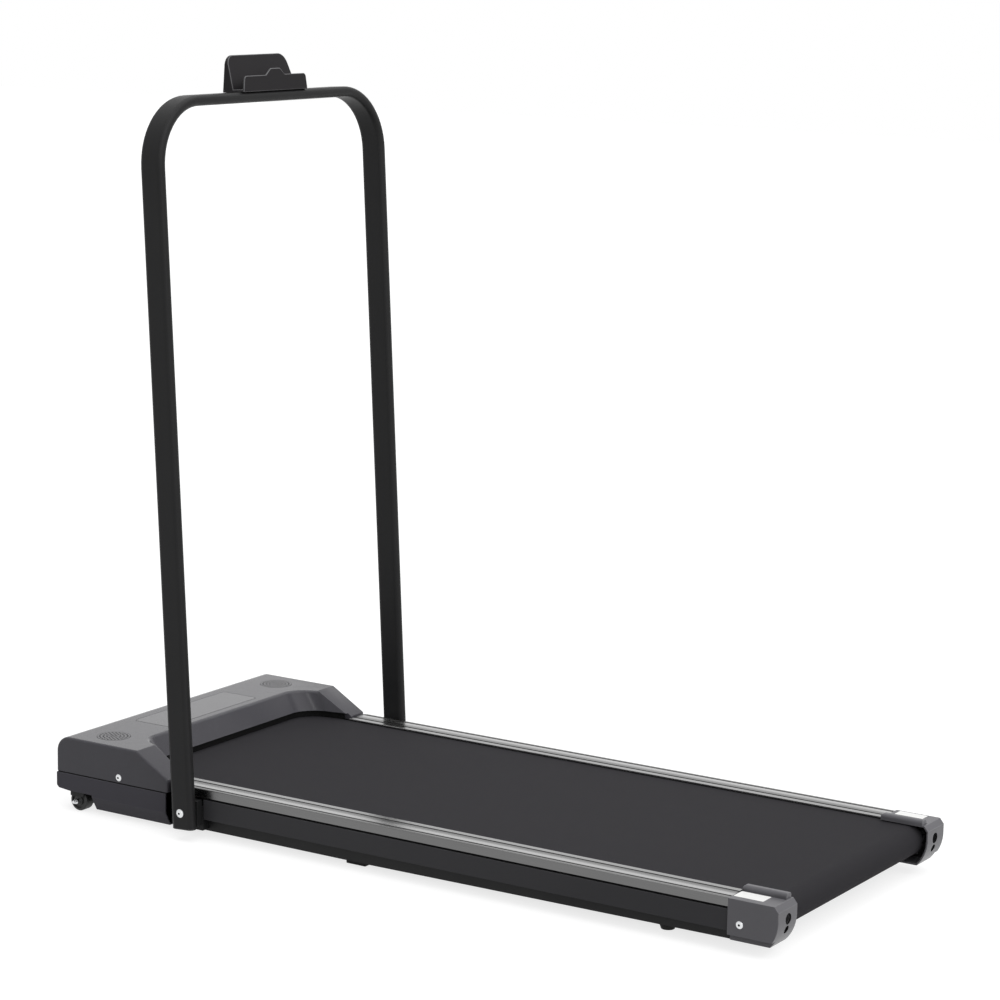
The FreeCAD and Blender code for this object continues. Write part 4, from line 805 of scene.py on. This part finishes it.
# Slot shade strip: a black strip that hangs behind the lower edge of the hood's recess, just clear of the
# belt.
# It paints the shade of the slot under the recess black; its finish is streaked like bristle.
SHADE_STRIP_GAUGE = 0.0012
SHADE_STRIP_CLEAR = 0.0008
SHADE_STRIP_HEIGHT = 0.0094
SHADE_STRIP_CORNER = 0.044
SHADE_STRIP_CORNER_STEPS = 12
SHADE_STRIP_DEPTH = 0.0768
SHADE_STRIP_TIP_DEPTH = 0.011
SHADE_STRIP_TIP_MARGIN = 0.002
SHADE_STRIP_SPREAD_SHARE = 0.2105
slot_shade_black = mottled(
    "black_slot_shade",
    dark=(0.003, 0.003, 0.003),
    pale=(0.012, 0.012, 0.012),
    smooth=0.8,
    rough=0.95,
    lump=0.0006,
    stretch=(1, 1, 0.06),
    depth=0.0002,
    Specular_IOR_Level=0.05,
)
strip_tip = Vector((-belt_high.x - SHADE_STRIP_TIP_MARGIN, hood_low.y + SHADE_STRIP_TIP_DEPTH, belt_high.z + SHADE_STRIP_CLEAR))
heading = Vector((SHADE_STRIP_SPREAD_SHARE, 1, 0)).normalized()
bend = math.acos(heading.x)
corner_run = (SHADE_STRIP_DEPTH - SHADE_STRIP_TIP_DEPTH) / heading.y
straight = corner_run - SHADE_STRIP_CORNER * math.tan(bend / 2)
near_centre = strip_tip + heading * straight + Vector((heading.y, -heading.x, 0)) * SHADE_STRIP_CORNER
far_centre = near_centre * Vector((-1, 1, 1))
work = bmesh.new()
tip_ends = [work.verts.new(strip_tip), work.verts.new(strip_tip + Vector((0, 0, SHADE_STRIP_HEIGHT)))]
end = [work.edges.new(tip_ends)]
end = run_on(work, end, heading * straight)
end = turn_on(work, end, near_centre, (0, 0, 1), -bend, SHADE_STRIP_CORNER_STEPS)
end = run_on(work, end, far_centre - near_centre)
end = turn_on(work, end, far_centre, (0, 0, 1), -bend, SHADE_STRIP_CORNER_STEPS)
run_on(work, end, Vector((heading.x, -heading.y, 0)) * straight)
bmesh.ops.recalc_face_normals(work, faces=work.faces)
bmesh.ops.solidify(work, geom=work.faces, thickness=SHADE_STRIP_GAUGE)
slot_shade = shaped(work, "slot_shade_strip", slot_shade_black)
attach(slot_shade, "base")


# Display: a flush smoked window in the hood's top, with its circuit board under it.
# Dark tinted acrylic, glossier than the hood; the board is green glass fibre.
window_tint = mottled(
    "smoked_acrylic",
    dark=(0.0560, 0.0545, 0.0610),
    pale=(0.0690, 0.0672, 0.0752),
    smooth=0.22,
    rough=0.30,
    lump=0.05,
    Specular_IOR_Level=0.2,
    Coat_Weight=0.7,
    Coat_IOR=1.2,
    Coat_Roughness=0.2,
)
board_green = mottled(
    "board_green",
    dark=(0.008, 0.055, 0.022),
    pale=(0.014, 0.085, 0.034),
    smooth=0.35,
    rough=0.50,
    lump=0.003,
    Specular_IOR_Level=0.5,
)
eased("display_window", "display_window_pane", window_tint, radius=0.0003)
dress(board_green, "display_board")


# Speaker grilles and speakers: two round pierced discs in the hood's top, each over a small speaker.
# Discs moulded in the hood's plastic with rings of round holes; the speakers are dark cones in baskets.
GRILLE_WALL_LEAN = 0.5


def grille_walls(corners, normal):
    """The walls of the holes."""
    return abs(normal.z) < GRILLE_WALL_LEAN


grilles = eased("speaker_grilles", "speaker_grilles_pierced", hood_plastic)
# The walls of the grille holes are painted with near-black shade.
darken(grilles, grille_walls)
dress(case_plastic, "speakers")


# Mains inlet and power switch: both in the front face, beside each other.
# Glossy black moulded plastic; the rocker tilts on its pin.
switch_plastic = moulded(
    "switch_plastic",
    dark=(0.012, 0.012, 0.013),
    pale=(0.018, 0.018, 0.019),
    roughness=0.32,
    sheen=0.5,
    pit=0.0010,
    depth=0.00002,
)
eased("mains_inlet", "mains_inlet_moulding", switch_plastic, radius=0.0004)
eased("switch_housing", "switch_housing_moulding", switch_plastic, radius=0.0003)
eased("switch_rocker", "switch_rocker_moulding", switch_plastic, radius=0.0003)


# Transport wheels: two small wheels under the front edge, for rolling the pad when it is tipped up.
# Hard black plastic, each turning on a plated shoulder screw that is set in a bracket of the frame.
wheel_plastic = moulded(
    "wheel_plastic",
    dark=(0.012, 0.012, 0.012),
    pale=(0.022, 0.022, 0.022),
    roughness=0.5,
    sheen=0.4,
    pit=0.0007,
    depth=0.00005,
)
for side in ("left", "right"):
    wheel = f"{side}_transport_wheel"
    eased(wheel, f"{wheel}_moulding", wheel_plastic, radius=0.0002)
eased("wheel_screws", "wheel_screws_formed", zinc)


# Feet: two rubber blocks under the middle of the frame and two round studs near the rear.
# Moulded black rubber, dull and slightly dusty underneath.
foot_rubber = rubber(
    "foot_rubber", dark=(0.012, 0.012, 0.012), pale=(0.026, 0.026, 0.025), roughness=0.8
)
eased("middle_feet", "middle_feet_moulding", foot_rubber, radius=0.0012, segments=3)
eased("rear_feet", "rear_feet_moulding", foot_rubber, radius=0.0005)


# Hand rail: one flat oval tube bent into an arch, hinged on a bolt at each side of the deck.
# Steel tube, black powder coat; brackets on the frame, nylon bushes in the legs, plastic plugs in the ends.
handle_coat = powder_coat(
    "hand_rail_powder_coat",
    dark=(0.011, 0.011, 0.0115),
    pale=(0.016, 0.016, 0.0165),
    roughness=0.42,
    sheen=0.15,
    peel=0.0007,
)
plug_plastic = moulded(
    "plug_plastic",
    dark=(0.012, 0.012, 0.012),
    pale=(0.020, 0.020, 0.020),
    roughness=0.5,
    sheen=0.4,
    pit=0.0007,
    depth=0.00004,
)
nylon = mottled(
    "natural_nylon",
    dark=(0.54, 0.53, 0.49),
    pale=(0.62, 0.61, 0.57),
    smooth=0.45,
    rough=0.60,
    lump=0.004,
    Specular_IOR_Level=0.4,
)
for side in ("left", "right"):
    bracket = f"{side}_handle_bracket"
    eased(bracket, f"{bracket}_pressing", handle_coat, radius=0.0006)
eased("hand_rail", "hand_rail_tube", handle_coat)
eased("handle_plugs", "handle_plugs_moulding", plug_plastic, radius=0.0006)
# The bolts' sockets get painted shade.
shade_sockets(eased("pivot_bolts", "pivot_bolts_formed", zinc))
dress(zinc, "pivot_nuts")
dress(nylon, "pivot_bushes")


# Phone holder: a small ledge with a leaning back plate on the middle of the hand rail.
# Black moulded plastic, fixed by two screws that go down into the tube.
HOLDER_BACK_DEPTH = 0.0028
holder_plastic = moulded(
    "holder_plastic",
    dark=(0.0160, 0.0148, 0.0162),
    pale=(0.0222, 0.0206, 0.0225),
    roughness=0.34,
    sheen=0.08,
    pit=0.0008,
    depth=0.00003,
    edge_highlight=0.70,
)
holder_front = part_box("phone_holder")[1].y - HOLDER_BACK_DEPTH


def in_front(edge):
    """The sharp edges of the ledge, the lip and the front of the plate."""
    ahead = all(corner.co.y < holder_front for corner in edge.verts)
    return ahead and edge.calc_face_angle(0) > CREASE


eased(
    "phone_holder",
    "phone_holder_moulding",
    holder_plastic,
    rim=in_front,
    rim_radius=0.001,
)
eased("holder_screws", "holder_screws_formed", zinc)


# Stage: a white floor that keeps the soft shadow, a white surround and broad soft lights.
# Floor and surround look white to the camera and in reflections, and light the pad less than that.
FLOOR_SIZE = 14
FLOOR_TONE = 0.36
FLOOR_GLOW = 0.76
AMBIENT = 0.45
SEEN_RAYS = ("Is Camera Ray", "Is Glossy Ray", "Is Transmission Ray")


def seen(wire):
    """1 for the rays that show a surface itself, 0 for those that only gather light."""
    total = None
    for kind in SEEN_RAYS:
        ray = wire.add("LightPath", {}, {}, output=kind)
        total = ray if total is None else total.sum("MAXIMUM", total, ray)
    return total


floor_finish, floor_shader, floor_place = finish(
    "white_floor",
    Base_Color=(FLOOR_TONE, FLOOR_TONE, FLOOR_TONE, 1),
    Emission_Color=(1, 1, 1, 1),
    Roughness=0.9,
    Specular_IOR_Level=0,
)
feed(floor_shader, Emission_Strength=seen(floor_place) * FLOOR_GLOW)
floor_work = bmesh.new()
bmesh.ops.create_grid(floor_work, x_segments=1, y_segments=1, size=FLOOR_SIZE)
floor_mesh = bpy.data.meshes.new("floor")
floor_work.to_mesh(floor_mesh)
floor_work.free()
floor_mesh.materials.append(floor_finish)
floor = bpy.data.objects.new("floor", floor_mesh)
bpy.context.scene.collection.objects.link(floor)

world = bpy.data.worlds.new("studio")
world.use_nodes = True
sky = world.node_tree.nodes["Background"]
sky.inputs["Color"].default_value = (1, 1, 1, 1)
sky_wire = Wire(world.node_tree, sky.outputs["Background"])
sky_level = AMBIENT + (1 - AMBIENT) * seen(sky_wire)
world.node_tree.links.new(sky_level.socket, sky.inputs["Strength"])
bpy.context.scene.world = world


def soft_light(name, toward, strength, spread):
    """A broad, even light from far off; toward points from the object to the light."""
    light = bpy.data.lights.new(name, "SUN")
    light.energy = strength
    light.angle = math.radians(spread)
    stand = bpy.data.objects.new(name, light)
    stand.location = toward
    stand.rotation_mode = "QUATERNION"
    stand.rotation_quaternion = (-Vector(toward)).to_track_quat("-Z", "Y")
    bpy.context.scene.collection.objects.link(stand)


soft_light("overhead_light", toward=(0.3, -0.5, 3.0), strength=1.6, spread=80)
soft_light("rear_light", toward=(-0.7, -2.6, 1.3), strength=1.1, spread=60)
soft_light("near_light", toward=(-3.2, -1.8, 1.6), strength=0.2, spread=9)

CAMERA_PLACE = (-3.5564, -2.2816, 1.2709)
CAMERA_YAW = 1.0025
CAMERA_PITCH = 0.1839
CAMERA_ROLL = 0.0176
CAMERA_LENS = 111.985
CAMERA_SENSOR = 36
view = bpy.data.cameras.new("camera")
view.lens = CAMERA_LENS
view.sensor_width = CAMERA_SENSOR
camera = bpy.data.objects.new("camera", view)
aim = Matrix.Rotation(-CAMERA_YAW, 4, "Z") @ Matrix.Rotation(math.pi / 2 - CAMERA_PITCH, 4, "X")
camera.matrix_world = Matrix.Translation(CAMERA_PLACE) @ aim @ Matrix.Rotation(CAMERA_ROLL, 4, "Z")
bpy.context.scene.collection.objects.link(camera)
bpy.context.scene.camera = camera
bpy.context.scene.view_settings.view_transform = "Standard"
